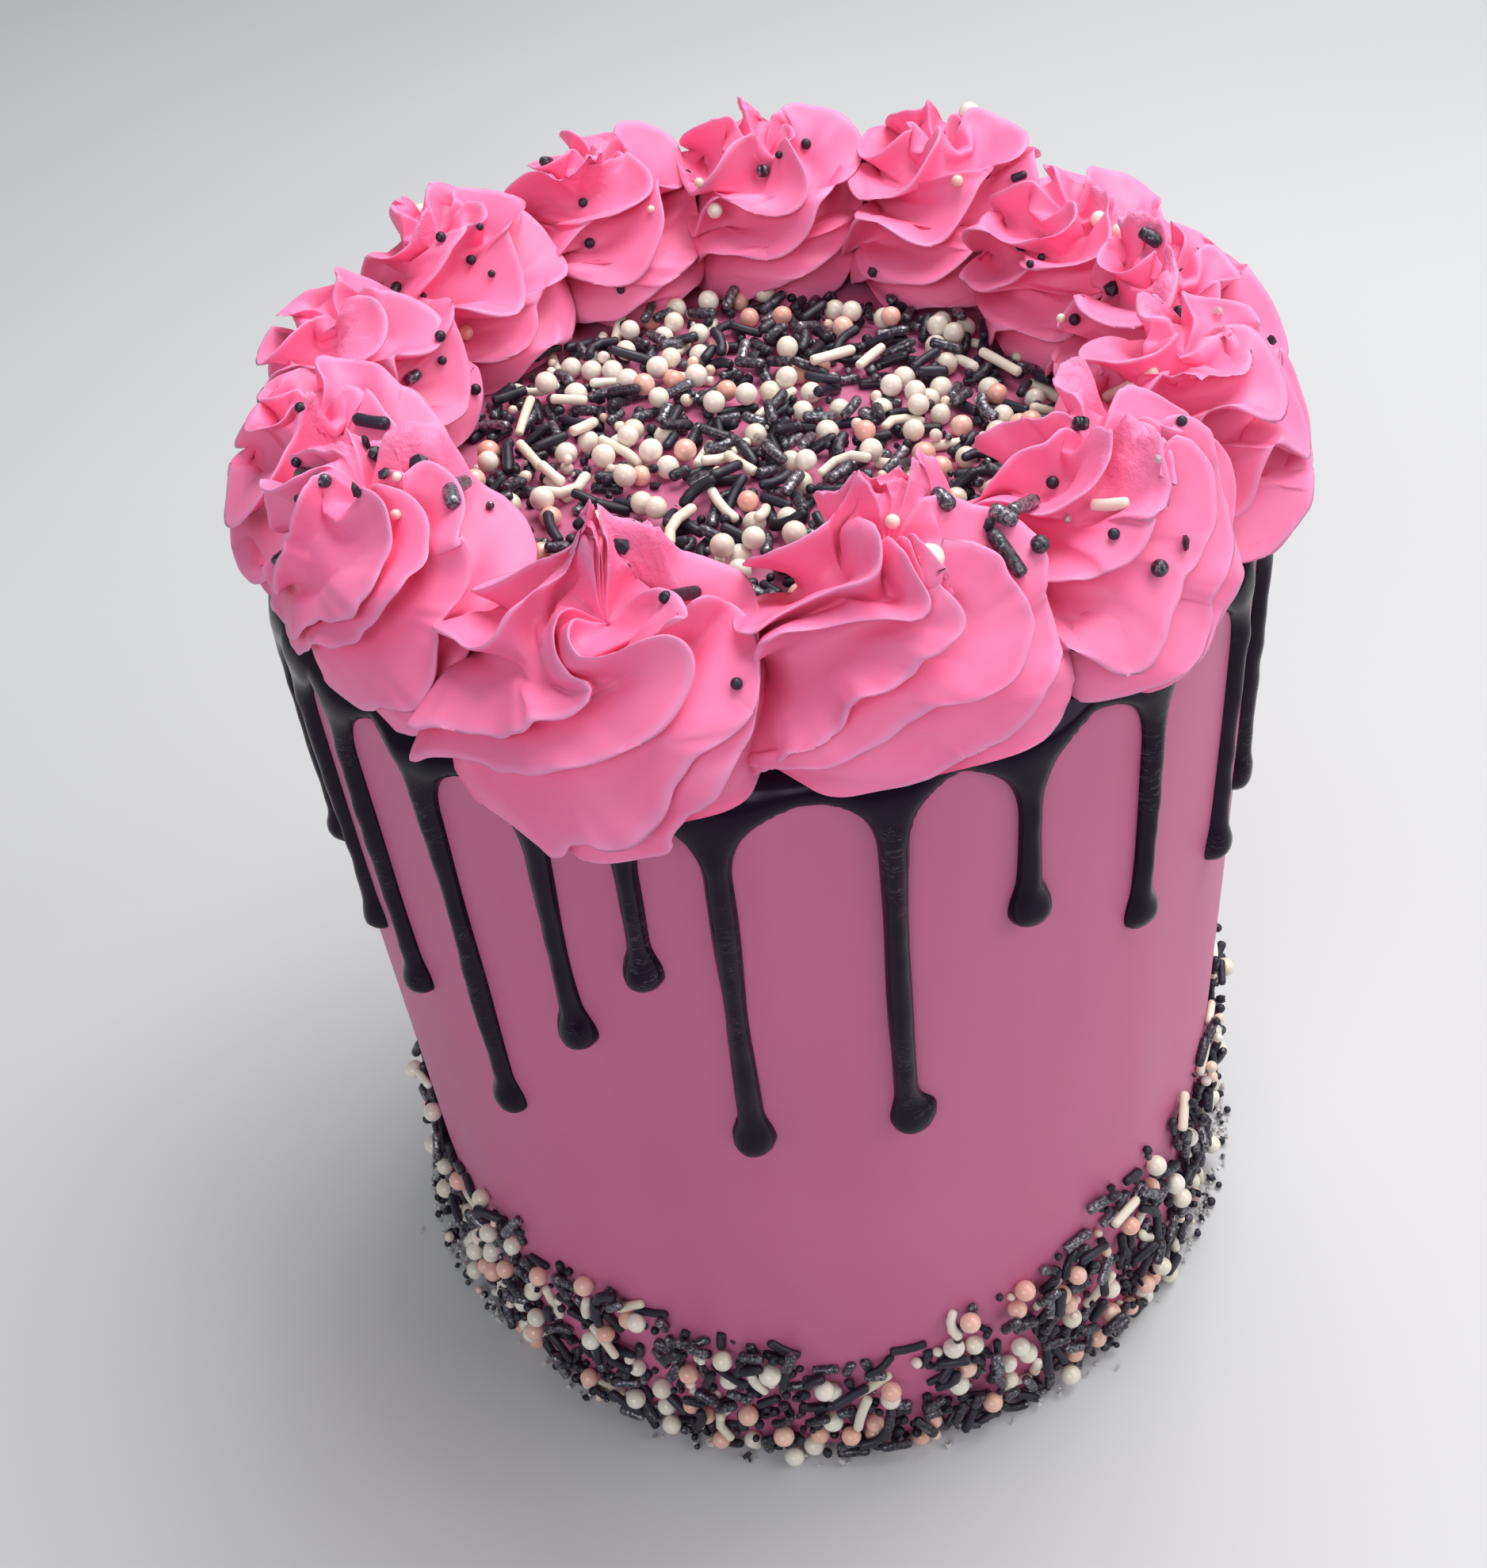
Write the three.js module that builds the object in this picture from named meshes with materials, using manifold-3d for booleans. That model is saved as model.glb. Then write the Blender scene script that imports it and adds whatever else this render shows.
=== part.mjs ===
// Tall round celebration cake: an uncut iced cylinder, a glossy dark ganache
// collar with drips that run down the side, and a crown of piped star-tip
// rosettes round the top edge. Millimetres, +Z up, origin at the centre of the
// underside. Azimuths are in degrees, measured from +X towards +Y; -90 is the
// front of the cake.
import * as THREE from 'three';
import { mergeVertices } from 'three/addons/utils/BufferGeometryUtils.js';
import Module from 'manifold-3d';

const wasm = await Module();
wasm.setup();

// ---------------------------------------------------------------- dimensions
const CAKE_R = 85;            // radius of the iced side
const CAKE_H = 183;           // height of the iced cylinder
const SHOULDER_R = 6;         // rounding of the top edge
const FOOT_R = 0.8;           // small chamfer where the side meets the base
const FACETS = 48;            // facets of every round piece of the cake
const GAP = 0.3;              // clearance between touching pieces

const COLLAR_IN_R = 72;       // inner edge of the ganache on top
const COLLAR_T = 1.6;         // thickness of the ganache on the top edge
const COLLAR_DOWN = 6.5;      // how far the collar reaches down the side

const DRIP_START = 4;         // how far below the top a drip leaves the collar
const DRIP_HALF_W = 2.3;      // half width of a drip's stem
const DRIP_FLARE_W = 7.6;     // half width where a drip leaves the collar
const BULB_HALF_W = 3.8;      // half width of the round end of a drip
const DRIP_T = 2.3;           // thickness of a stem
const BULB_T = 3.2;           // thickness of the round end

// each drip: azimuth, length below the top of the cake, width scale
const DRIPS = [
  [-160.5, 53, 0.85], [-153.5, 66, 0.95], [-144.0, 71, 1.00], [-130.4, 89, 1.00],
  [-116.9, 60, 0.98], [-107.4, 42, 0.95], [-98.1, 82, 1.12], [-80.8, 81, 1.12],
  [-66.3, 40, 1.00], [-49.9, 57, 1.00], [-32.0, 63, 1.00], [-20.0, 62, 1.05],
  [-5.0, 47, 0.95], [10.0, 74, 1.05], [28.5, 52, 1.00], [46.0, 86, 1.05],
  [63.0, 44, 0.95], [82.0, 68, 1.00], [100.5, 90, 1.10], [118.0, 50, 0.95],
  [136.0, 77, 1.05], [154.5, 58, 1.00], [174.5, 46, 0.95],
];

const LOBES = 7;              // points of the piping star
const CREST = 1.07;           // crest radius over the mean radius
const VALLEY = 0.87;          // channel radius over the mean radius
const SWEEP = 130;            // degrees the crests turn from foot to peak
const DROOP = [0.32, 0.018];  // fall of the outer lobes past the edge, by distance and its square

// each rosette: azimuth, distance from the cake's axis, foot radius, share of
// it outwards, height of the peak, lean of the peak outwards and to the left,
// first turn
const ROSETTES = [
  [-109.5, 72.5, 22.0, 1.00, 29.5, 3.7, 4.1, 10],
  [-76.5, 71.0, 23.0, 0.80, 33.0, 0.1, 0.9, 35],
  [-47.0, 70.5, 22.0, 0.90, 30.0, -3.4, 6.0, 0],
  [-21.5, 71.5, 21.5, 0.96, 28.5, -0.9, 5.5, 22],
  [1.5, 71.0, 21.0, 0.94, 26.5, -0.1, 5.0, 44],
  [26.5, 69.5, 21.5, 0.94, 27.5, -3.0, 3.8, 15],
  [55.0, 71.5, 22.0, 0.92, 29.5, 3.5, 3.0, 5],
  [83.5, 70.5, 22.0, 0.94, 29.0, -1.1, 2.0, 30],
  [110.0, 71.5, 22.0, 0.88, 28.0, 4.0, -0.8, 12],
  [137.5, 71.0, 22.0, 0.94, 28.0, 2.8, -0.3, 46],
  [163.5, 71.0, 21.0, 0.92, 28.0, 0.8, 0.7, 20],
  [187.5, 70.5, 20.5, 0.95, 24.5, -0.5, -4.0, 33],
  [214.5, 70.0, 22.0, 0.78, 31.0, 0.0, -2.0, 3],
];

// foot-to-peak outline of a rosette as [height share, radius share]: full and
// round, closing over in a short drawn-off peak
const OUTLINE = [
  [-0.10, 0.80], [0.10, 0.95], [0.28, 1.00], [0.48, 0.93],
  [0.66, 0.78], [0.80, 0.58], [0.90, 0.34], [1.00, 0.08],
];

// ------------------------------------------------------------------- helpers
const rad = (d) => (d * Math.PI) / 180;

// welds a three.js geometry, drops collapsed triangles and turns it outwards
function weld(source) {
  const g = source.clone();
  g.deleteAttribute('normal');
  g.deleteAttribute('uv');
  const m = mergeVertices(g, 1e-4);
  const p = m.attributes.position.array;
  const index = m.index.array;
  const tris = [];
  let volume = 0;
  for (let i = 0; i < index.length; i += 3) {
    const [a, b, c] = [index[i], index[i + 1], index[i + 2]];
    if (a === b || b === c || c === a) continue;
    tris.push(a, b, c);
    const [A, B, C] = [a, b, c].map((k) => new THREE.Vector3(p[3 * k], p[3 * k + 1], p[3 * k + 2]));
    volume += A.dot(B.cross(C)) / 6;
  }
  if (volume < 0) for (let i = 0; i < tris.length; i += 3) [tris[i], tris[i + 1]] = [tris[i + 1], tris[i]];
  return { positions: new Float32Array(p), tris: new Uint32Array(tris) };
}

function toSolid(geometry) {
  const { positions, tris } = weld(geometry);
  return new wasm.Manifold(new wasm.Mesh({ numProp: 3, vertProperties: positions, triVerts: tris }));
}

function toGeometry(solid) {
  const mesh = solid.getMesh();
  const g = new THREE.BufferGeometry();
  const n = mesh.numProp;
  const count = mesh.vertProperties.length / n;
  const pos = new Float32Array(count * 3);
  for (let i = 0; i < count; i += 1) for (let k = 0; k < 3; k += 1) pos[3 * i + k] = mesh.vertProperties[n * i + k];
  g.setAttribute('position', new THREE.BufferAttribute(pos, 3));
  g.setIndex(new THREE.BufferAttribute(new Uint32Array(mesh.triVerts), 1));
  g.computeVertexNormals();
  return g;
}

// turns an [r, z] outline about the cake's axis
function turned(points, facets = FACETS) {
  const g = new THREE.LatheGeometry(points.map(([r, z]) => new THREE.Vector2(r, z)), facets);
  g.rotateX(Math.PI / 2);
  return g;
}

// quarter ellipse from the side (0 deg) to the top (90 deg) of the top edge
function edgeArc(rx, rz, steps) {
  const out = [];
  for (let i = 0; i <= steps; i += 1) {
    const a = rad((90 * i) / steps);
    out.push([CAKE_R - SHOULDER_R + rx * Math.cos(a), CAKE_H - SHOULDER_R + rz * Math.sin(a)]);
  }
  return out;
}

function moveVertices(geometry, fn) {
  const p = geometry.attributes.position;
  const v = new THREE.Vector3();
  for (let i = 0; i < p.count; i += 1) {
    v.fromBufferAttribute(p, i);
    fn(v);
    p.setXYZ(i, v.x, v.y, v.z);
  }
  return geometry;
}

// straight up to the knee, then closing in on 1 without reaching it
function softLimit(x, knee = 0.72) {
  const a = Math.abs(x);
  if (a <= knee) return x;
  return Math.sign(x) * (knee + (1 - knee) * Math.tanh((a - knee) / (1 - knee)));
}

// -------------------------------------------------------------------- pieces
function cakeBody() {
  return turned([
    [0, 0], [CAKE_R - FOOT_R, 0], [CAKE_R, FOOT_R],
    ...edgeArc(SHOULDER_R, SHOULDER_R, 3), [0, CAKE_H],
  ]);
}

// outline of the ganache collar: over the top edge and a little down the side
function collar() {
  const inner = edgeArc(SHOULDER_R + GAP, SHOULDER_R + GAP, 3);
  const outer = edgeArc(SHOULDER_R + GAP + COLLAR_T, SHOULDER_R + GAP + COLLAR_T, 2);
  return turned([
    [COLLAR_IN_R, CAKE_H + GAP], ...inner.slice().reverse(),
    [CAKE_R + GAP, CAKE_H - COLLAR_DOWN], [CAKE_R + GAP + COLLAR_T * 0.6, CAKE_H - COLLAR_DOWN - 0.9],
    ...outer, [COLLAR_IN_R + 1, CAKE_H + GAP + COLLAR_T], [COLLAR_IN_R, CAKE_H + GAP],
  ]);
}

// half width and thickness of a drip at a distance d below its start
function dripSection(d, length, scale) {
  const flare = Math.exp(-Math.pow(d / 5.2, 1.5));
  const toBulb = length - d;
  const bulb = Math.exp(-Math.pow((toBulb - 4.0) / 3.6, 2));
  let w = DRIP_HALF_W * scale + (DRIP_FLARE_W - DRIP_HALF_W) * flare + (BULB_HALF_W - DRIP_HALF_W) * scale * bulb;
  let t = DRIP_T - (DRIP_T - 1.3) * flare + (BULB_T - DRIP_T) * bulb;
  const end = Math.min(1, Math.max(0.06, toBulb / 3.8));
  const round = Math.sqrt(1 - Math.pow(1 - end, 2));
  w *= round;
  t *= Math.max(0.35, round);
  return [w, t];
}

// one drip: a half-round bar wrapped on the side of the cake
function drip(azimuth, below, scale) {
  const top = CAKE_H - DRIP_START;
  const length = below - DRIP_START;
  const stops = [0, 3.5, 8, length - 9.5, length - 5.2, length - 1.9, length];
  const g = new THREE.CylinderGeometry(1, 1, stops.length - 1, 6, stops.length - 1, false);
  g.translate(0, (stops.length - 1) / 2, 0);
  return moveVertices(g, (v) => {
    const k = Math.round(stops.length - 1 - v.y);
    const d = stops[k];
    const [w, t] = dripSection(d, length, scale);
    const reach = Math.hypot(v.x, v.z);
    const a = Math.atan2(v.x, v.z);
    const side = reach * Math.cos(a);
    const depth = Math.max(0, reach * Math.sin(a));
    const r = CAKE_R + GAP + 0.15 + (t - 0.15) * depth;
    const theta = rad(azimuth) + (w * side) / CAKE_R;
    v.set(r * Math.cos(theta), r * Math.sin(theta), top - d);
  });
}

function ganache() {
  let solid = toSolid(collar());
  for (const [azimuth, below, scale] of DRIPS) solid = solid.add(toSolid(drip(azimuth, below, scale)));
  return toGeometry(solid);
}

// space that the rosettes leave free: the cake, its collar and the drips
function underRosettes() {
  const rim = edgeArc(SHOULDER_R + 3.6, SHOULDER_R + 2 * GAP + COLLAR_T, 2);
  return toSolid(turned([
    [0, CAKE_H - 40], [CAKE_R + 4.8, CAKE_H - 40], [CAKE_R + 3.9, CAKE_H - 18],
    ...rim, [COLLAR_IN_R - GAP, CAKE_H + 2 * GAP + COLLAR_T],
    [COLLAR_IN_R - GAP, CAKE_H + GAP], [0, CAKE_H + GAP],
  ], FACETS * 2 / 3));
}

// one rosette: a turned outline drawn out into star lobes that wind clockwise
// from the peak to the foot, leaned, pressed against its neighbours and let
// down over the edge of the cake
function rosette(item, toLeft, toRight) {
  const [azimuth, distance, foot, front, height, leanOut, leanLeft, start] = item;
  const outline = [[0, OUTLINE[0][0]], ...OUTLINE.map(([h, r]) => [r, h]), [0, 1.02]];
  // a rosette widens towards a neighbour that stands far off
  const wide = [toLeft, toRight].map((gap) => Math.max(0, (distance * Math.tan(gap) * 1.1 + 0.5) / foot - 1));
  const g = turned(outline, LOBES * 3);
  moveVertices(g, (v) => {
    const r = Math.hypot(v.x, v.y);
    const h = v.z;
    if (r < 1e-6) {
      v.set(0, 0, h * height);
    } else {
      const step = Math.round((Math.atan2(v.y, v.x) / (2 * Math.PI)) * LOBES * 3);
      const crest = ((step % 3) + 3) % 3 === 0;
      const uneven = 1 + 0.05 * Math.sin(2.3 * step + start);
      const a = (step / (LOBES * 3)) * 2 * Math.PI + rad(start + SWEEP * Math.max(0, h));
      const reach = foot * r * (crest ? CREST * uneven : VALLEY);
      const z = h * height + (crest ? 1.4 : -1.2) * (h > 0.05 && h < 0.95 ? 1 : 0);
      v.set(reach * Math.cos(a), reach * Math.sin(a), z);
    }
    v.x *= 1 - (1 - front) * Math.min(1, Math.max(0, v.x / foot));
    v.y *= 1 + wide[v.y > 0 ? 0 : 1] * Math.min(1, Math.abs(v.y) / foot);
    const lean = Math.pow(Math.max(0, h), 1.5);
    const out = v.x + leanOut * lean;
    const left = v.y + leanLeft * lean;
    const reachOut = Math.hypot(distance + out, left);
    const turn = Math.atan2(left, distance + out);
    const limit = turn > 0 ? toLeft : toRight;
    const theta = rad(azimuth) + limit * softLimit(turn / limit);
    const past = Math.max(0, reachOut - (CAKE_R - 6));
    v.set(reachOut * Math.cos(theta), reachOut * Math.sin(theta), CAKE_H + GAP + v.z - DROOP[0] * past - DROOP[1] * past * past);
  });
  // the cut can leave a crumb of a lobe's tip beside the rosette: only the
  // rosette itself is kept
  const pieces = toSolid(g).subtract(underRosettes()).decompose();
  pieces.sort((a, b) => b.volume() - a.volume());
  return toGeometry(pieces[0]);
}

// ------------------------------------------------------------------ assembly
const icing = new THREE.MeshStandardMaterial({ color: '#c4688f', roughness: 0.62, metalness: 0 });
const dark = new THREE.MeshStandardMaterial({ color: '#120c18', roughness: 0.16, metalness: 0 });
const piped = new THREE.MeshStandardMaterial({ color: '#ee6ca2', roughness: 0.5, metalness: 0 });

function named(name, geometry, material) {
  const mesh = new THREE.Mesh(geometry, material.clone());
  mesh.name = name;
  return mesh;
}

const cake = new THREE.Group();

const body = weld(cakeBody());
const bodyGeometry = new THREE.BufferGeometry();
bodyGeometry.setAttribute('position', new THREE.BufferAttribute(body.positions, 3));
bodyGeometry.setIndex(new THREE.BufferAttribute(body.tris, 1));
bodyGeometry.computeVertexNormals();
cake.add(named('cake_body', bodyGeometry, icing));

cake.add(named('ganache_drip', ganache(), dark));

const crown = new THREE.Group();
ROSETTES.forEach((item, i) => {
  const next = ROSETTES[(i + 1) % ROSETTES.length];
  const last = ROSETTES[(i + ROSETTES.length - 1) % ROSETTES.length];
  const between = (a, b) => rad((((b - a) % 360) + 360) % 360) / 2;
  const clear = (GAP * 0.6) / 48;
  const toLeft = between(item[0], next[0]) - clear;
  const toRight = between(last[0], item[0]) - clear;
  const name = `rosette_${String(i + 1).padStart(2, '0')}`;
  crown.add(named(name, rosette(item, toLeft, toRight), piped));
});
cake.add(crown);

export default cake;
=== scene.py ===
import math

import bpy
import numpy as np
from mathutils import Matrix, Vector
from mathutils.bvhtree import BVHTree


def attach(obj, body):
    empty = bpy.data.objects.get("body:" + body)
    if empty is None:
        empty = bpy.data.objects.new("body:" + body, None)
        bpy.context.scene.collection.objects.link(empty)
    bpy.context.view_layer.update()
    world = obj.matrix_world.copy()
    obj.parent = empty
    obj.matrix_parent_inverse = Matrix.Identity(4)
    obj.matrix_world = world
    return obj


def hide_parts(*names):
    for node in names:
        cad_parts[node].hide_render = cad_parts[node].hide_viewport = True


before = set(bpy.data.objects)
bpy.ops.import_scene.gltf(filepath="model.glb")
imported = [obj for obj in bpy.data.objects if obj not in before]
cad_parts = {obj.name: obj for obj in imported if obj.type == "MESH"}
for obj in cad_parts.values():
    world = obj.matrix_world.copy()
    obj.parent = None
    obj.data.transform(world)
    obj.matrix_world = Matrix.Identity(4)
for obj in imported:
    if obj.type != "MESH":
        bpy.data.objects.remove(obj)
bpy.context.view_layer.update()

# ------------------------------------------------------------------ sizes (mm)
MM = 0.001
R = 85.0                     # iced side
H = 183.0                    # iced cylinder
SHOULDER = 6.0               # rounding of the top edge
TAU = 2.0 * math.pi

# drips: azimuth, length below the top, width scale, sideways bulge of the end
DRIPS = [
    (-160.5, 53, 0.90, 0.0), (-153.5, 66, 0.95, 0.0), (-144.0, 71, 1.00, 0.3), (-130.4, 89, 1.00, 0.3),
    (-116.9, 60, 1.00, 0.3), (-107.4, 42, 0.95, 0.2), (-98.1, 82, 1.08, 0.0), (-80.8, 81, 1.08, 1.6),
    (-66.3, 40, 1.02, 0.6), (-49.9, 57, 1.00, 0.5), (-32.0, 63, 1.00, 0.3), (-20.0, 62, 1.05, 0.0),
    (-5.0, 47, 0.95, 0.4), (10.0, 74, 1.05, -0.3), (28.5, 52, 1.00, 0.0), (46.0, 86, 1.05, 0.8),
    (63.0, 44, 0.95, 0.0), (82.0, 68, 1.00, -0.6), (100.5, 90, 1.08, 0.4), (118.0, 50, 0.95, 0.0),
    (136.0, 77, 1.05, 0.5), (154.5, 58, 1.00, -0.3), (174.5, 46, 0.95, 0.2),
]


# --------------------------------------------------------------------- helpers
def lerp(a, b, t):
    return a + (b - a) * t


def smooth(a, b, x):
    t = np.clip((np.asarray(x, float) - a) / (b - a), 0.0, 1.0)
    return t * t * (3 - 2 * t)


def waves(points, scale, seed, count=7):
    """Smooth unevenness between about -1 and 1: a sum of seeded plane waves of that wavelength."""
    rng = np.random.default_rng(seed)
    p = np.asarray(points, float)
    out = np.zeros(p.shape[:-1])
    for _ in range(count):
        d = rng.normal(size=p.shape[-1])
        d /= np.linalg.norm(d)
        k = TAU / (scale * rng.uniform(0.7, 1.6))
        out += np.sin(p @ d * k + rng.uniform(0, TAU))
    return out / math.sqrt(count) * 0.9


def curve_through(points, count):
    """Catmull-Rom curve through points, sampled evenly along its length."""
    p = np.asarray(points, float)
    p = np.vstack([2 * p[0] - p[1], p, 2 * p[-1] - p[-2]])
    out = []
    for i in range(1, len(p) - 2):
        t = np.linspace(0, 1, 40, endpoint=False)[:, None]
        a, b, c, d = p[i - 1], p[i], p[i + 1], p[i + 2]
        out.append(0.5 * (2 * b + (c - a) * t + (2 * a - 5 * b + 4 * c - d) * t**2 + (3 * b - a - 3 * c + d) * t**3))
    out.append(p[-2][None])
    dense = np.vstack(out)
    s = np.concatenate([[0], np.cumsum(np.linalg.norm(np.diff(dense, axis=0), axis=1))])
    even = np.linspace(0, s[-1], count)
    return np.stack([np.interp(even, s, dense[:, k]) for k in range(dense.shape[1])], -1), even


def grid_faces(rows, cols, wrap_cols, wrap_rows=False, offset=0, flip=False):
    i = np.arange(rows if wrap_rows else rows - 1)[:, None]
    j = np.arange(cols if wrap_cols else cols - 1)[None, :]
    i2 = (i + 1) % rows
    j2 = (j + 1) % cols
    a, b, c, d = i * cols + j, i * cols + j2, i2 * cols + j2, i2 * cols + j
    a, b, c, d = (np.broadcast_to(x, (i.shape[0], j.shape[1])).ravel() + offset for x in (a, b, c, d))
    return np.stack([a, d, c, b] if flip else [a, b, c, d], -1)


def make(name, verts, quads=None, tris=None, smooth_shade=True, attrs=None):
    """A mesh object from arrays in millimetres."""
    me = bpy.data.meshes.new(name)
    v = np.ascontiguousarray(np.asarray(verts, np.float64) * MM, dtype=np.float32)
    me.vertices.add(len(v))
    me.vertices.foreach_set("co", v.ravel())
    loops, starts, n = [], [], 0
    if quads is not None and len(quads):
        q = np.asarray(quads, np.int32)
        loops.append(q.ravel())
        starts.append(np.arange(len(q), dtype=np.int32) * 4)
        n = q.size
    if tris is not None and len(tris):
        t = np.asarray(tris, np.int32)
        loops.append(t.ravel())
        starts.append(np.arange(len(t), dtype=np.int32) * 3 + n)
    loops, starts = np.concatenate(loops), np.concatenate(starts)
    me.loops.add(len(loops))
    me.loops.foreach_set("vertex_index", loops)
    me.polygons.add(len(starts))
    me.polygons.foreach_set("loop_start", starts)
    me.update(calc_edges=True)
    me.validate()
    me.polygons.foreach_set("use_smooth", np.full(len(me.polygons), smooth_shade, bool))
    for key, values in (attrs or {}).items():
        a = me.attributes.new(key, "FLOAT", "POINT")
        a.data.foreach_set("value", np.asarray(values, np.float32))
    ob = bpy.data.objects.new(name, me)
    bpy.context.scene.collection.objects.link(ob)
    return ob


def signed_volume(verts, tris):
    a, b, c = verts[tris[:, 0]], verts[tris[:, 1]], verts[tris[:, 2]]
    return float(np.einsum("ij,ij->i", a, np.cross(b, c)).sum() / 6)


# ------------------------------------------------------------------- materials
class Nodes:
    """A small helper for node materials."""

    def __init__(self, name):
        self.mat = bpy.data.materials.new(name)
        self.mat.use_nodes = True
        self.tree = self.mat.node_tree
        self.bsdf = self.tree.nodes["Principled BSDF"]

    def add(self, kind, **inputs):
        n = self.tree.nodes.new(kind)
        for k, v in inputs.items():
            if hasattr(n, k) and k not in n.inputs:
                setattr(n, k, v)
            else:
                n.inputs[k].default_value = v
        return n

    def link(self, a, b):
        self.tree.links.new(a, b)

    def set(self, **values):
        for k, v in values.items():
            self.bsdf.inputs[k.replace("_", " ")].default_value = v

    def attribute(self, name):
        n = self.tree.nodes.new("ShaderNodeAttribute")
        n.attribute_name = name
        return n.outputs["Fac"]

    def coords(self):
        return self.tree.nodes.new("ShaderNodeTexCoord").outputs["Object"]

    def mapped(self, scale=(1, 1, 1), source=None):
        n = self.tree.nodes.new("ShaderNodeMapping")
        n.inputs["Scale"].default_value = scale
        self.link(source or self.coords(), n.inputs["Vector"])
        return n.outputs["Vector"]

    def noise(self, scale, detail=2.0, rough=0.5, source=None, distortion=0.0):
        n = self.tree.nodes.new("ShaderNodeTexNoise")
        n.inputs["Scale"].default_value = scale
        n.inputs["Detail"].default_value = detail
        n.inputs["Roughness"].default_value = rough
        n.inputs["Distortion"].default_value = distortion
        self.link(source or self.coords(), n.inputs["Vector"])
        return n.outputs["Fac"]

    def ramp(self, source, stops):
        n = self.tree.nodes.new("ShaderNodeValToRGB")
        el = n.color_ramp.elements
        while len(el) < len(stops):
            el.new(0.5)
        for e, (pos, col) in zip(el, stops):
            e.position = pos
            e.color = (*col, 1.0) if len(col) == 3 else col
        self.link(source, n.inputs["Fac"])
        return n.outputs["Color"]

    def range(self, source, a, b, lo, hi):
        n = self.tree.nodes.new("ShaderNodeMapRange")
        n.inputs["From Min"].default_value = a
        n.inputs["From Max"].default_value = b
        n.inputs["To Min"].default_value = lo
        n.inputs["To Max"].default_value = hi
        self.link(source, n.inputs["Value"])
        return n.outputs["Result"]

    def math(self, op, a, b=None, clamp=False):
        n = self.tree.nodes.new("ShaderNodeMath")
        n.operation = op
        n.use_clamp = clamp
        for sock, v in ((n.inputs[0], a), (n.inputs[1], b)):
            if v is None:
                continue
            if isinstance(v, (int, float)):
                sock.default_value = v
            else:
                self.link(v, sock)
        return n.outputs[0]

    def mix(self, fac, a, b, blend="MIX"):
        n = self.tree.nodes.new("ShaderNodeMix")
        n.data_type = "RGBA"
        n.blend_type = blend
        for sock, v in ((n.inputs[0], fac), (n.inputs[6], a), (n.inputs[7], b)):
            if isinstance(v, (int, float)):
                sock.default_value = v
            elif isinstance(v, tuple):
                sock.default_value = (*v, 1.0) if len(v) == 3 else v
            else:
                self.link(v, sock)
        return n.outputs[2]

    def bump(self, height, strength, distance, below=None):
        n = self.tree.nodes.new("ShaderNodeBump")
        n.inputs["Strength"].default_value = strength
        n.inputs["Distance"].default_value = distance
        self.link(height, n.inputs["Height"])
        if below is not None:
            self.link(below, n.inputs["Normal"])
        return n.outputs["Normal"]


def side_icing_material():
    m = Nodes("icing_side")
    fine = m.noise(900, 3, 0.6)
    cloud = m.noise(22, 3, 0.55)
    streak = m.noise(60, 2, 0.5, m.mapped((1.0, 1.0, 0.06)))
    # painted shade: the side's pink is painted darker and more muted than the piped icing's; the cloud varies it at
    # random
    base = m.ramp(cloud, [(0.25, (0.54, 0.118, 0.245)), (0.75, (0.60, 0.140, 0.280))])
    # vertical smoothing streaks: bumped below, and also painted lighter as painted light bands
    base = m.mix(m.range(streak, 0.35, 0.75, 0.0, 0.35), base, (0.60, 0.185, 0.345))
    m.link(base, m.bsdf.inputs["Base Color"])
    m.link(m.range(cloud, 0.3, 0.7, 0.44, 0.54), m.bsdf.inputs["Roughness"])
    m.set(Specular_IOR_Level=0.42, Subsurface_Weight=0.12, Subsurface_Scale=0.004)
    m.bsdf.inputs["Subsurface Radius"].default_value = (1.0, 0.42, 0.5)
    n = m.bump(streak, 0.22, 0.0006)
    n = m.bump(fine, 0.10, 0.00012, n)
    m.link(n, m.bsdf.inputs["Normal"])
    return m.mat


def piped_material():
    m = Nodes("icing_piped")
    crest = m.attribute("crest")
    tone = m.noise(90, 3, 0.55)
    fine = m.noise(1100, 3, 0.65)
    body = m.ramp(tone, [(0.3, (0.92, 0.185, 0.380)), (0.7, (0.95, 0.230, 0.440))])
    # painted shade: the channels between the ribbons are painted darker and more saturated where they run deep and
    # narrow
    body = m.mix(m.math("MULTIPLY", m.attribute("channel_shade"), 0.62), body, (0.80, 0.065, 0.195))
    # painted highlight: the lips of the ribbons are painted paler
    edge = m.mix(m.range(crest, 0.86, 1.0, 0.0, 0.75), body, (0.82, 0.31, 0.54))
    m.link(edge, m.bsdf.inputs["Base Color"])
    m.link(m.range(tone, 0.3, 0.7, 0.42, 0.52), m.bsdf.inputs["Roughness"])
    m.set(Specular_IOR_Level=0.32, Subsurface_Weight=0.08, Subsurface_Scale=0.0014)
    m.bsdf.inputs["Subsurface Radius"].default_value = (1.0, 0.35, 0.45)
    torn = m.attribute("torn")
    rough = m.math("MULTIPLY", m.noise(620, 4, 0.7), torn)
    n = m.bump(fine, 0.16, 0.00012)
    n = m.bump(rough, 0.6, 0.0009, n)
    m.link(n, m.bsdf.inputs["Normal"])
    return m.mat


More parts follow.
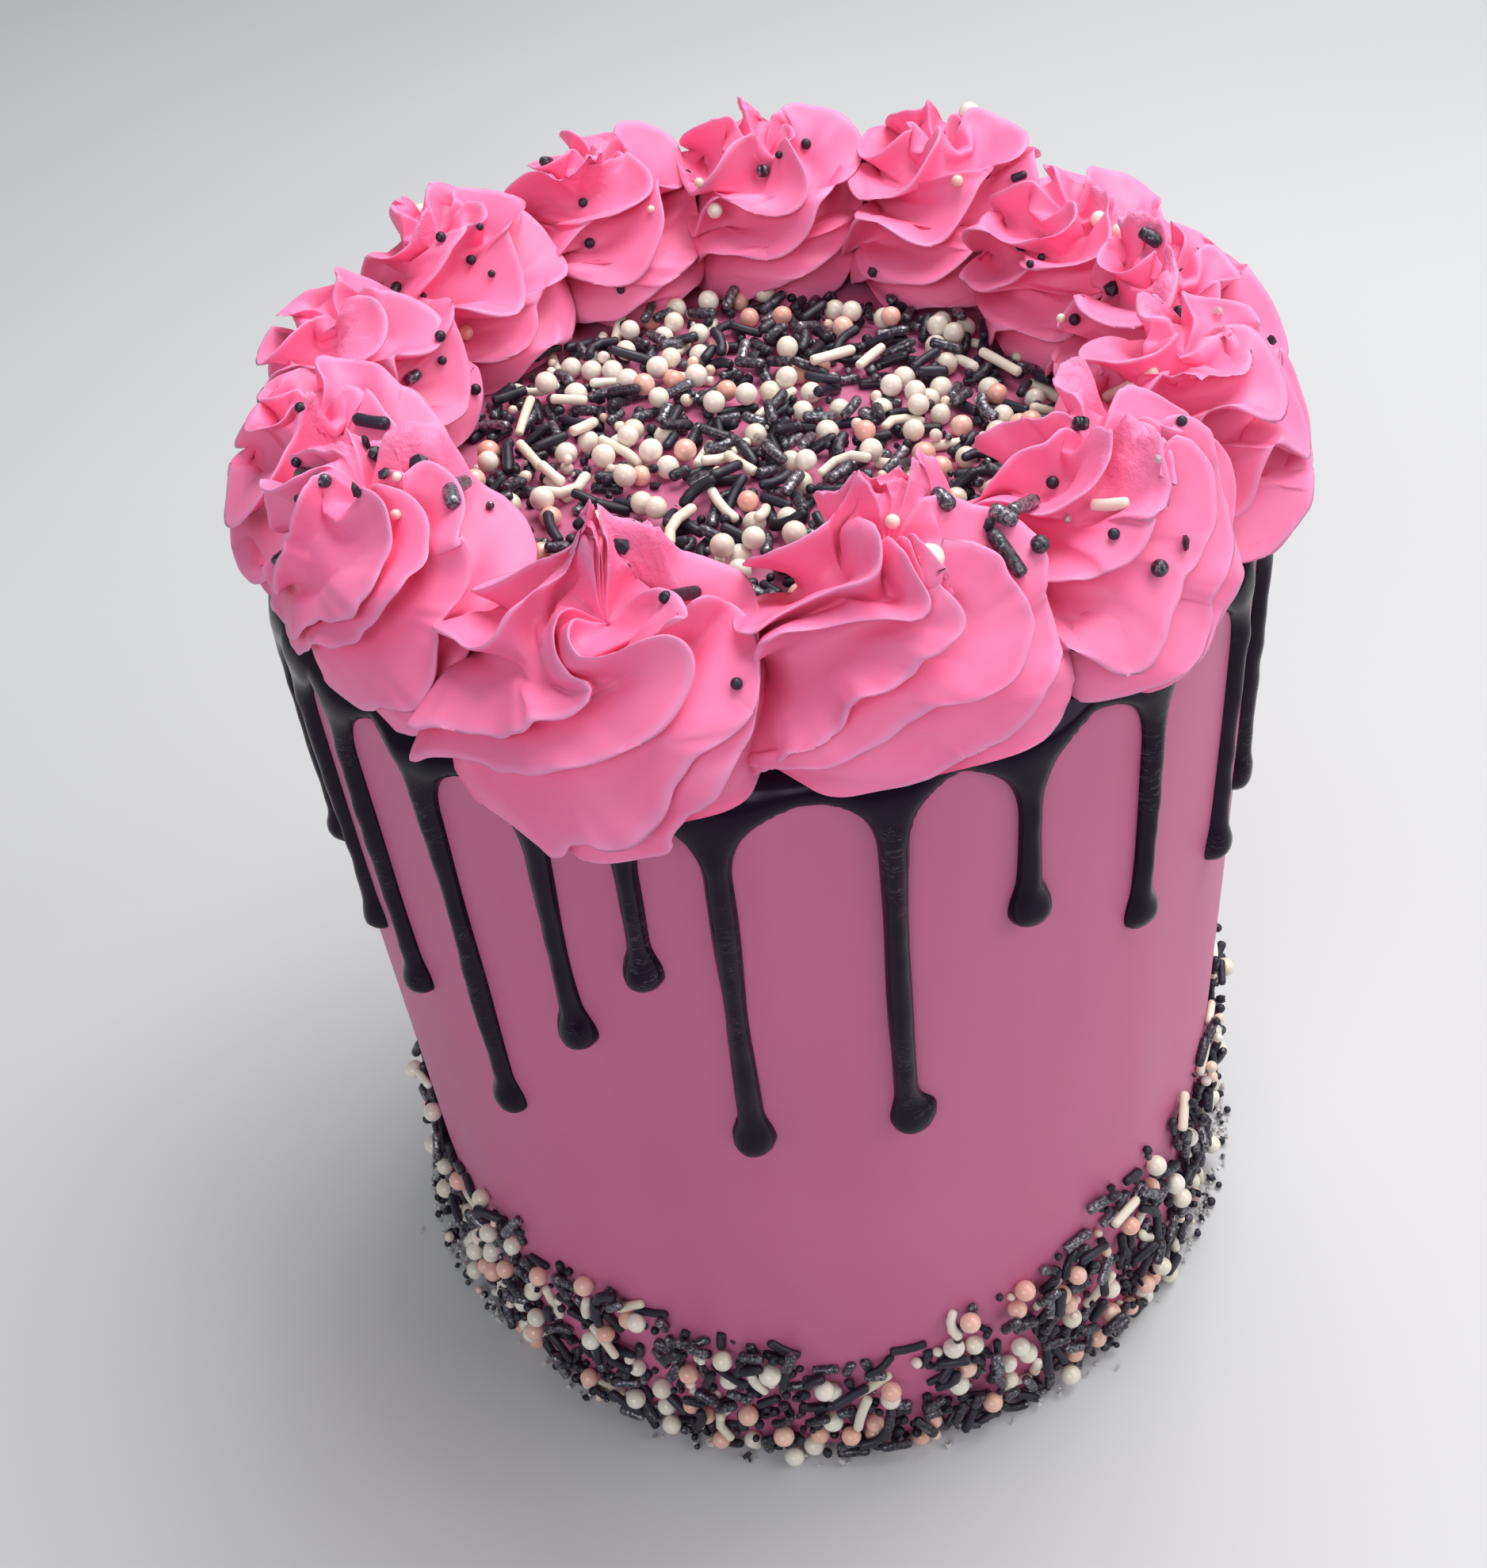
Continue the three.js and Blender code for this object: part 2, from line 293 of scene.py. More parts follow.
def ganache_material():
    m = Nodes("ganache")
    cloud = m.noise(70, 3, 0.5)
    base = m.ramp(cloud, [(0.3, (0.0060, 0.0024, 0.0080)), (0.7, (0.0100, 0.0042, 0.0130))])
    m.link(m.range(m.noise(160, 3, 0.6), 0.3, 0.7, 0.13, 0.24), m.bsdf.inputs["Roughness"])
    m.set(Specular_IOR_Level=0.17)
    m.bsdf.inputs["Specular Tint"].default_value = (0.92, 0.74, 1.0, 1.0)
    wrinkle = m.noise(170, 4, 0.62, m.mapped((1.0, 1.0, 3.4)), 0.6)
    crack = m.math("ABSOLUTE", m.math("SUBTRACT", wrinkle, 0.5))
    crack = m.range(crack, 0.0, 0.016, 1.0, 0.0)
    mask = m.range(m.noise(42, 2, 0.5), 0.52, 0.66, 0.0, 1.0)
    crack = m.math("MULTIPLY", m.math("MULTIPLY", crack, mask), m.attribute("stem"))
    m.link(m.mix(m.math("MULTIPLY", crack, 0.55), base, (0.20, 0.16, 0.20)), m.bsdf.inputs["Base Color"])
    n = m.bump(m.noise(120, 2, 0.5), 0.10, 0.0006)
    n = m.bump(crack, 0.5, 0.0003, n)
    m.link(n, m.bsdf.inputs["Normal"])
    return m.mat


def pearl_material(name, dark, light):
    m = Nodes(name)
    per = m.attribute("tone")
    base = m.mix(per, dark, light)
    m.link(base, m.bsdf.inputs["Base Color"])
    m.link(m.range(m.noise(700, 2, 0.5), 0.3, 0.7, 0.24, 0.36), m.bsdf.inputs["Roughness"])
    m.set(Specular_IOR_Level=0.55, Coat_Weight=0.35, Coat_Roughness=0.18, Subsurface_Weight=0.10, Subsurface_Scale=0.002,
          Sheen_Weight=0.15, Sheen_Roughness=0.4)
    n = m.bump(m.noise(900, 3, 0.6), 0.12, 0.0001)
    m.link(n, m.bsdf.inputs["Normal"])
    return m.mat


def black_sugar_material():
    m = Nodes("sugar_black")
    per = m.attribute("tone")
    base = m.mix(per, (0.006, 0.006, 0.014), (0.020, 0.017, 0.036))
    m.link(base, m.bsdf.inputs["Base Color"])
    m.link(m.range(m.noise(800, 3, 0.6), 0.3, 0.7, 0.34, 0.58), m.bsdf.inputs["Roughness"])
    m.set(Specular_IOR_Level=0.5)
    m.link(m.bump(m.noise(1300, 3, 0.6), 0.35, 0.0002), m.bsdf.inputs["Normal"])
    return m.mat


def graphite_material():
    m = Nodes("sugar_graphite")
    per = m.attribute("tone")
    mottle = m.noise(1500, 4, 0.72)
    silver = m.math("ADD", mottle, m.math("MULTIPLY", per, 0.16))
    base = m.ramp(silver, [(0.46, (0.012, 0.010, 0.018)), (0.60, (0.065, 0.060, 0.080)), (0.76, (0.40, 0.39, 0.43))])
    m.link(base, m.bsdf.inputs["Base Color"])
    m.link(m.range(silver, 0.50, 0.78, 0.15, 0.85), m.bsdf.inputs["Metallic"])
    m.link(m.range(mottle, 0.3, 0.7, 0.45, 0.24), m.bsdf.inputs["Roughness"])
    m.link(m.bump(mottle, 0.45, 0.0002), m.bsdf.inputs["Normal"])
    return m.mat


def ivory_rod_material():
    m = Nodes("sugar_ivory")
    per = m.attribute("tone")
    base = m.mix(per, (0.76, 0.69, 0.56), (0.87, 0.81, 0.71))
    m.link(base, m.bsdf.inputs["Base Color"])
    m.link(m.range(m.noise(600, 3, 0.6), 0.3, 0.7, 0.36, 0.52), m.bsdf.inputs["Roughness"])
    m.set(Specular_IOR_Level=0.45, Subsurface_Weight=0.12, Subsurface_Scale=0.002)
    m.link(m.bump(m.noise(1000, 3, 0.6), 0.25, 0.00015), m.bsdf.inputs["Normal"])
    return m.mat


def crystal_material():
    m = Nodes("sugar_crystal")
    m.link(m.mix(m.attribute("tone"), (0.60, 0.57, 0.53), (0.86, 0.85, 0.84)), m.bsdf.inputs["Base Color"])
    m.link(m.range(m.noise(1500, 2, 0.5), 0.3, 0.7, 0.10, 0.25), m.bsdf.inputs["Roughness"])
    m.set(Transmission_Weight=0.55, IOR=1.5)
    return m.mat


# --------------------------------------------------------------------- cake body
def build_body():
    around = 240
    ring = []                                   # outline, from the underside's centre to the top's centre
    for r in (0.0, 20, 45, 65, 78, 83.2):
        ring.append((r, 0.0))
    ring += [(84.4, 0.25), (84.85, 0.9)]
    ring += [(R, z) for z in np.arange(2.0, H - SHOULDER - 0.6, 2.6)]
    for a in np.linspace(0, 90, 9):
        ring.append((R - SHOULDER + SHOULDER * math.cos(math.radians(a)), H - SHOULDER + SHOULDER * math.sin(math.radians(a))))
    ring += [(r, H) for r in np.linspace(76.5, 2.0, 26)]
    ring.append((0.0, H))
    ring = np.array(ring)
    th = np.arange(around) / around * TAU
    n = len(ring) - 2
    r = ring[1:-1, 0][:, None]
    z = ring[1:-1, 1][:, None]
    ct, st = np.cos(th)[None], np.sin(th)[None]
    base = np.stack([np.broadcast_to(r * ct, (n, around)), np.broadcast_to(r * st, (n, around)), np.broadcast_to(z, (n, around))], -1)
    side = smooth(82, 84.9, r) * smooth(1.5, 8, z) * (1 - smooth(H - 7, H - 3, z))
    top = smooth(H - 0.5, H - 0.01, z)
    cyl = np.stack(np.broadcast_arrays(R * ct, R * st, z * 0.35), -1)
    push = 0.34 * waves(cyl, 70, 11) + 0.16 * waves(cyl * [1, 1, 0.5], 24, 12)
    # the scraper's last stroke: a shallow step down the left front
    u = (np.degrees(th)[None] + 129.5 + 0.045 * (z - 60)) * math.pi / 180 * R
    push = push + 0.42 * (1 - smooth(-1.6, 0.8, u)) * smooth(-34, -4, u) * smooth(2, 20, z) * (1 - smooth(95, 150, z))
    push = np.clip(push, -0.85, 0.85) * side
    lift = (0.30 * waves(base[..., :2], 38, 13) + 0.12 * waves(base[..., :2], 13, 14)) * top
    out = base.copy()
    out[..., 0] += push * ct
    out[..., 1] += push * st
    out[..., 2] += np.minimum(lift, 0.15)
    # small pits and one nick in the smoothed side: azimuth, height, width, height of mark, depth
    for az, pz, w, h, d in ((-89.5, 96.0, 2.2, 0.9, 0.5), (-89.8, 63.0, 1.6, 0.9, 0.55), (-82.6, 130.5, 1.0, 0.8, 0.5),
                            (-104, 118, 1.4, 0.8, 0.4), (-60, 78, 1.3, 0.8, 0.4), (-43, 112, 1.4, 1.2, 0.4),
                            (12, 90, 1.8, 1.0, 0.5), (71, 120, 1.6, 1.0, 0.5), (128, 66, 1.5, 1.0, 0.5), (-171, 101, 1.6, 1.0, 0.45)):
        du = (np.mod(np.degrees(th)[None] - az + 180, 360) - 180) * math.pi / 180 * R
        hit = np.exp(-(du / w) ** 2 - ((z - pz) / h) ** 2) * side * d
        out[..., 0] -= hit * ct
        out[..., 1] -= hit * st
    verts = np.vstack([[[0, 0, 0]], out.reshape(-1, 3), [[0, 0, H + float(lift[-1].mean())]]])
    quads = grid_faces(n, around, True, offset=1)
    j = np.arange(around)
    low = np.stack([np.zeros(around, int), 1 + (j + 1) % around, 1 + j], -1)
    last = 1 + (n - 1) * around
    high = np.stack([np.full(around, len(verts) - 1), last + j, last + (j + 1) % around], -1)
    body = make("cake_icing", verts, quads, np.vstack([low, high]))
    body.data.materials.append(side_icing_material())
    return body


# ---------------------------------------------------------------- ganache collar
ARC = SHOULDER * math.pi / 2        # length of the rounding
V_EDGE = R - SHOULDER - 70.0        # flat part on top, from radius 70 outwards


def surface_point(u, v, lift):
    """A point above the icing: u runs round the side, v from radius 70 on top outwards and down."""
    th = u / R
    flat = v <= V_EDGE
    arc = (v > V_EDGE) & (v <= V_EDGE + ARC)
    a = np.clip((v - V_EDGE) / ARC, 0, 1) * math.pi / 2
    r = np.where(flat, 70.0 + v, R - SHOULDER + SHOULDER * np.sin(a))
    z = np.where(flat, H, np.where(arc, H - SHOULDER + SHOULDER * np.cos(a), H - SHOULDER - (v - V_EDGE - ARC)))
    r = r + lift * np.sin(a)
    z = z + lift * np.cos(a)
    return np.stack([r * np.cos(th), r * np.sin(th), z], -1)


def v_below(b):
    """v of a point b mm below the top, on the straight side."""
    return V_EDGE + ARC + b - SHOULDER


def smooth_max(a, b, k):
    h = np.maximum(k - np.abs(a - b), 0.0) / k
    return np.maximum(a, b) + h * h * k * 0.25


def collar_field(u, v):
    """Distance inside the ganache's outline, the share of stem and the swell of the drip ends."""
    period = TAU * R
    th = u / R
    edge = v_below(3.6) + 0.9 * np.sin(3 * th + 0.6) + 0.7 * np.sin(7 * th + 2.0) + 0.5 * np.sin(13 * th + 4.4)
    inner = 2.6 + 1.2 * np.sin(5 * th + 1.0) + 0.9 * np.sin(11 * th)
    band = np.minimum(edge - v, v - inner)
    drips = np.full(np.broadcast(u, v).shape, -1e3)
    swell = np.zeros_like(drips)
    for i, (az, below, width, bulge) in enumerate(DRIPS):
        rng = np.random.default_rng(500 + i)
        rb = 3.45 * width
        v0, v1 = v_below(1.0), v_below(below) - rb
        wander = rng.uniform(-0.30, 0.30) * np.sin((v - v0) / rng.uniform(9, 15) + rng.uniform(0, TAU))
        du = np.mod(u - math.radians(az) * R + period / 2, period) - period / 2 - wander
        dv = np.maximum(np.maximum(v0 - v, v - v1), 0.0)
        along = np.clip((v - v0) / (v1 - v0), 0, 1)
        half = width * (1.72 + 0.35 * (1 - along) + 0.13 * np.sin((v - v0) / rng.uniform(5, 8) + rng.uniform(0, TAU)) + 0.40 * smooth(0.72, 1.0, along))
        stem = half - np.hypot(du, dv)
        d_end = np.hypot(du - bulge * 0.6, (v - v1) * np.where(v > v1, 1.0, 0.75))
        end = rb - d_end
        one = smooth_max(stem, end, 2.2)
        if abs(bulge) > 1:
            one = smooth_max(one, 2.2 - np.hypot(du - bulge * 1.7, v - v1 + 1.4), 1.4)
        drips = np.maximum(drips, one)
        swell = np.maximum(swell, np.exp(-((d_end / (rb * 0.85)) ** 2)))
    field = smooth_max(band, drips, 13.0)
    stem_share = smooth(v_below(6), v_below(14), v)
    return field, stem_share, swell


def build_ganache():
    nu = 840
    u = np.arange(nu) / nu * TAU * R
    v = np.concatenate([np.arange(0, V_EDGE - 2, 1.0), np.arange(V_EDGE - 2, v_below(12), 0.72), np.arange(v_below(12), v_below(92.5), 1.15)])
    U, V = np.meshgrid(u, v)
    F, _, _ = collar_field(U, V)
    # outside corners next to the outline move onto it
    e = 0.05
    for _ in range(3):
        f, _, _ = collar_field(U, V)
        gu = (collar_field(U + e, V)[0] - collar_field(U - e, V)[0]) / (2 * e)
        gv = (collar_field(U, V + e)[0] - collar_field(U, V - e)[0]) / (2 * e)
        g2 = np.maximum(gu * gu + gv * gv, 0.05)
        near = (F <= 0) & (F > -1.3)
        U = np.where(near, U - f * gu / g2 * 0.98, U)
        V = np.where(near, V - f * gv / g2 * 0.98, V)
    inside = F > 0
    rows, cols = F.shape
    a = inside[:-1]
    b = inside[1:]
    used = a | np.roll(a, -1, 1) | b | np.roll(b, -1, 1)
    i, j = np.nonzero(used)
    j2 = (j + 1) % cols
    quad = np.stack([i * cols + j, (i + 1) * cols + j, (i + 1) * cols + j2, i * cols + j2], -1)
    keep, flat = np.unique(quad, return_inverse=True)
    quad = flat.reshape(quad.shape)
    uu, vv = U.ravel()[keep], V.ravel()[keep]
    f, stem, swell = collar_field(uu, vv)
    f = np.maximum(np.where(F.ravel()[keep] > 0, f, 0.0), 0.0)
    full = 2.5
    x = np.minimum(f / full, 1.0)
    thick = np.sqrt(np.maximum(1 - (1 - x) ** 2, 0.0))
    height = lerp(1.75, 2.3, stem) + 0.9 * swell * stem
    grain = 0.05 * waves(np.stack([uu, vv], -1), 9, 61) + 0.10 * waves(np.stack([uu, vv], -1), 30, 62)
    lift = thick * (height * (1 + grain)) + 0.02
    top = surface_point(uu, vv, lift)
    under = surface_point(uu, vv, np.full_like(uu, -0.9))
    n = len(top)
    # edges used once close the rim
    e1 = np.stack([quad, np.roll(quad, -1, 1)], -1).reshape(-1, 2)
    key = np.sort(e1, 1)
    _, idx, cnt = np.unique(key, axis=0, return_index=True, return_counts=True)
    rim = e1[idx[cnt == 1]]
    wall = np.stack([rim[:, 1], rim[:, 0], rim[:, 0] + n, rim[:, 1] + n], -1)
    quads = np.vstack([quad, quad[:, ::-1] + n, wall])
    verts = np.vstack([top, under])
    ob = make("ganache", verts, quads, attrs={"stem": np.concatenate([stem, stem])})
    ob.data.materials.append(ganache_material())
    return ob


# -------------------------------------------------------------------- rosettes
FINS = 5
# a ribbon's edge in mm across it and as a share of the channel's depth: the overhanging side, then the sloping side
EDGE_UNDER = [(0.0, 0.0), (0.26, 0.035), (0.50, 0.16), (0.72, 0.36), (1.00, 0.60), (1.45, 0.79), (2.2, 0.92)]
EDGE_SLOPE = [(4.6, 0.82), (3.2, 0.66), (2.1, 0.50), (1.30, 0.35), (0.80, 0.22), (0.48, 0.11), (0.24, 0.03)]
MIDDLE = [(0.30, 1.0), (0.58, 0.96)]

# azimuth, distance, foot radius, share of it outwards, rim height, lean out, lean left, first fin (deg), seed,
# torn tongues at the peak (direction from outwards, height, half-width), foot lobes (direction, reach, half-width)
ROSETTES = [
    (-109.5, 72.5, 22.0, 1.00, 25.0, 3.7, 4.1, 10, 1, ((-149, 9.0, 26), (172, 5.5, 16)), ((11, 2.2, 30), (-62, 2.5, 34), (60, 2.0, 30))),
    (-76.5, 71.0, 23.0, 0.80, 29.5, 0.1, 0.9, 35, 2, ((156, 5.5, 22), (200, 4.0, 15)), ((-58, 2.5, 32), (58, 2.5, 32))),
    (-47.0, 70.5, 22.0, 0.90, 27.0, -3.4, 6.0, 0, 3, ((150, 4.5, 22), (-30, 3.0, 22)), ((-17, 1.2, 22), (-58, 2.0, 30), (60, 2.5, 30))),
    (-21.5, 71.5, 21.5, 0.96, 26.5, -0.9, 5.5, 22, 4, ((140, 3.0, 25), (-76, 3.0, 20)), ((-60, 2.2, 30), (60, 2.2, 30))),
    (1.5, 71.0, 21.0, 0.94, 25.0, -0.1, 5.0, 44, 5, ((120, 2.5, 25), (-109, 2.5, 20)), ((62, 2.2, 30), (-62, 2.2, 30))),
    (26.5, 69.5, 21.5, 0.94, 25.5, -3.0, 3.8, 15, 6, ((-45, 3.5, 22),), ((62, 2.5, 32), (-62, 2.2, 30))),
    (55.0, 71.5, 22.0, 0.92, 26.5, 3.5, 3.0, 5, 7, ((42, 5.0, 17),), ((62, 2.5, 32), (-62, 2.5, 32))),
    (83.5, 70.5, 22.0, 0.94, 27.5, -1.1, 2.0, 30, 8, ((6, 2.5, 28),), ((62, 2.5, 30), (-62, 2.5, 32))),
    (110.0, 71.5, 22.0, 0.88, 26.0, 4.0, -0.8, 12, 9, ((167, 2.8, 24),), ((62, 2.5, 30), (-62, 2.5, 30))),
    (137.5, 71.0, 22.0, 0.94, 26.0, 2.8, -0.3, 40, 10, ((134, 3.1, 20),), ((62, 2.5, 30), (-62, 2.5, 30))),
    (163.5, 71.0, 21.0, 0.92, 26.0, 0.8, 0.7, 20, 11, ((115, 3.5, 22),), ((62, 2.2, 30), (-62, 2.4, 30))),
    (187.5, 70.5, 20.5, 0.95, 22.5, -0.5, -4.0, 33, 12, ((95, 2.0, 25),), ((62, 2.4, 30), (-62, 2.2, 30))),
    (214.5, 70.0, 22.0, 0.78, 27.0, 0.0, -2.0, 3, 13, ((170, 7.0, 20), (-100, 3.0, 20)), ((56, 2.5, 34), (-60, 2.5, 32))),
]

# crest outline from the hollow centre to the foot, as shares of foot radius and height
MERIDIAN = [(0.00, 0.80), (0.07, 0.84), (0.15, 0.93), (0.23, 0.99), (0.33, 1.00), (0.47, 0.965), (0.64, 0.885),
            (0.80, 0.755), (0.93, 0.56), (0.995, 0.34), (0.97, 0.15), (0.87, 0.0)]


# ribbon edges that the photograph shows clearly: (mm along the outline from the centre, azimuth) for every crest
GUIDES = {
    1: [
        [(0, -130), (6, -136), (11.3, -140), (12, -124), (11.8, -109), (14.3, -92), (16.7, -73), (18.5, -68), (20.5, -76), (24.5, -96), (29.5, -116), (36, -146), (41, -172)],
        [(0, -92), (4.1, -78), (7.7, -64), (11.1, -42), (13.9, -16), (15.1, 2), (16.6, -8), (18.8, -27), (25, -40), (28.3, -54), (33.5, -76), (41, -108)],
        [(0, -58), (4.6, -48), (10, -26), (12.2, -8), (12.7, 9), (13, 25), (13.2, 40), (14.4, 50), (16.7, 50), (18.7, 40), (20.6, 19), (22.7, 0), (25.2, -20), (27.6, -34), (31.5, -52), (36.5, -72), (41.5, -92)],
        [(0, 142), (4.1, 132), (7.2, 101), (9, 74), (10.9, 60), (12.5, 57), (13.4, 64), (13, 79), (14.1, 97), (17.3, 105), (20.1, 94), (21.8, 78), (22.5, 62), (24.1, 48), (27.8, 30), (32.4, 6), (39.3, -19), (42.1, -38)],
        [(0, 205), (6.2, 200), (11.1, 196), (12.3, 168), (14.1, 151), (16.2, 140), (18.7, 127), (21, 107), (23.6, 77), (26.6, 54), (29.9, 39), (33.6, 30), (39.3, 22), (42.1, 3)],
    ],
    2: [
        [(0, -172), (5.9, -171), (11.1, -163), (12.3, -143), (12.3, -120), (15.8, -112), (20.4, -120), (27.3, -139), (33.9, -159), (40.4, -179)],
        [(0, -112), (6.9, -106), (9.3, -75), (10.7, -50), (13.1, -43), (15.6, -48), (19, -66), (23.4, -85), (31.3, -120), (39.8, -145)],
        [(0, -44), (6.1, -34), (11.1, -18), (15.2, -6), (16.8, -11), (16.8, -26), (18.2, -44), (21.2, -61), (28.5, -86), (34.1, -110), (41.8, -135)],
        [(0, -2), (6.1, -3), (11.3, -4), (15.8, 3), (19, 4), (21.6, -2), (25.1, -16), (30.7, -32), (37.6, -54), (42.2, -70)],
        [(0, 40), (4.9, 26), (8.3, 10), (12.3, 4), (15.4, 8), (17.4, 17), (16.4, 24), (14.3, 32), (14.1, 40), (16.6, 46), (21.6, 48), (25.3, 43), (27.7, 30), (29.3, 15), (31.3, -2), (33.7, -16), (36.4, -39), (40.8, -63)],
        [(0, 120), (5.9, 116), (11.7, 102), (17, 87), (25.1, 71), (28.1, 64), (31.1, 60), (33.3, 48), (35.4, 35), (38.2, 22), (40.4, 7), (43.6, 0), (45.7, -11), (47.3, -28)],
    ],
    3: [
        [(0, -135), (5, -125), (9.4, -119), (11.1, -117), (12.9, -118), (16.4, -123), (20.5, -128), (25.4, -139), (30, -156), (36.1, -182), (41.1, -204)],
        [(0, -75), (5, -72), (10.9, -68), (13.6, -67), (15.5, -70), (17.1, -76), (19.4, -87), (19.2, -94), (19.9, -104), (21, -112), (22.9, -119), (27.1, -138), (33.2, -162), (39.6, -189)],
        [(0, -30), (6.1, -28), (12.2, -30), (14.6, -25), (16.8, -24), (18.4, -24), (19.7, -24), (19.7, -31), (20.8, -36), (22.1, -42), (23.4, -51), (25.2, -59), (26.2, -70), (26, -78), (25.1, -85), (24.5, -92), (24.5, -99), (25.4, -108), (28.6, -122), (34.1, -144), (40.5, -166)],
        [(0, 10), (6.1, 2), (11.1, -5), (15.7, -12), (19, -18), (17.7, -16), (16, -9), (15.5, 1), (16.4, 7), (17.9, 11), (19.9, 12), (22.3, 8), (24.5, 2), (26.4, -3), (27.8, -11), (29.5, -18), (31, -26), (32.8, -33), (33.4, -38), (32.6, -44), (31.7, -50), (31.5, -59), (32.6, -67), (36.3, -84), (41.5, -106)],
        [(0, 62), (5, 42), (10, 20), (14, 8), (13.5, 16), (13.6, 23), (15.1, 31), (17.5, 33), (20.8, 32), (24.3, 30), (27.5, 25), (29.5, 18), (31.1, 10), (33.2, 4), (36.1, 0), (38.5, -11), (40.4, -27), (43.1, -58)],
        [(0, 120), (6.1, 110), (11.1, 100), (14.9, 84), (17, 70), (19.5, 62), (23, 60), (26.2, 51), (29.1, 39), (32.8, 29), (36.9, 17), (40.7, 1), (44, -22)],
        [(0, 175), (6.1, 170), (11.1, 160), (14, 140), (17, 132), (21, 130), (25.2, 120), (28.8, 102), (32.3, 84), (36.5, 61), (41.1, 30)],
    ],
    13: [
        [(0, -110), (8.1, -115), (14.9, -128), (23.8, -150), (31.3, -191), (40.5, -216)],
        [(0, -58), (6.6, -39), (13.8, -18), (19.9, -14), (23.6, -11), (29.1, -22), (32.3, -46), (38.7, -82)],
        [(0, 42), (6.1, 58), (9.8, 71), (12, 74), (15.5, 68), (19, 56), (22.1, 39), (26.2, 24), (31.5, 1), (34.8, -20), (38.9, -50)],
        [(0, 88), (7.7, 90), (13.1, 90), (16, 82), (19.2, 71), (22.7, 58), (26, 39), (31.1, 15), (35.9, -8), (39.4, -26)],
        [(0, 138), (6.8, 126), (10.9, 116), (12.7, 132), (14.7, 136), (16.2, 122), (17, 104), (18.8, 96), (21.6, 96), (26.2, 80), (31, 70), (33.9, 56), (37.2, 41), (40.2, 28), (42, 12)],
        [(0, 190), (7.9, 182), (13.6, 173), (17.3, 166), (20.8, 162), (24.9, 158), (28.2, 146), (28.8, 126), (30, 109), (32.1, 94), (35, 80), (38.3, 62)],
    ],
}


def guided_crests(guide, rows, s, r):
    """Crest places along the outline and azimuths on shared rows, from a few guide points each."""
    end = s[-1]
    tau = np.linspace(0, 1, rows)
    S, A = [], []
    for pts in guide:
        pts = pts + [(end, pts[-1][1] - 2.2 * (end - pts[-1][0]) - 3)] if pts[-1][0] < end else pts
        q, _ = curve_through([(a, math.radians(b) * 14.0) for a, b in pts], 400)
        a, b = np.clip(q[:, 0], 0, end), q[:, 1] / 14.0
        rr = np.interp(a, s, r)
        length = np.concatenate([[0], np.cumsum(np.hypot(np.diff(a), rr[1:] * np.diff(b)))])
        t = 0.30 * length / length[-1] + 0.70 * np.maximum.accumulate(a) / end
        S.append(np.interp(tau, t, a))
        A.append(np.interp(tau, t, b))
    # more crests where the guides leave a wide gap, on the side away from the camera
    S2, A2, added = [], [], []
    mid = slice(int(0.35 * rows), int(0.85 * rows))
    for k in range(len(S)):
        last = k == len(S) - 1
        s1, a1 = S[(k + 1) % len(S)], A[(k + 1) % len(S)] + (TAU if last else 0.0)
        S2.append(S[k])
        A2.append(A[k])
        added.append(False)
        more = int(round(math.degrees(float((a1 - A[k])[mid].mean())) / 54.0)) - 1
        for i in range(1, more + 1):
            f = i / (more + 1)
            w = 2.2 * np.sin(TAU * tau * 2.1 + 2.4 * i + k) * smooth(0.08, 0.30, tau) * (1 - 0.6 * smooth(0.55, 0.90, tau))
            S2.append(np.clip(lerp(S[k], s1, f) + 0.6 * w, 0, end))
            A2.append(lerp(A[k], a1, f) + 0.8 * w / 14.0)
            added.append(True)
    return np.stack(S2, -1), np.stack(A2, -1), added


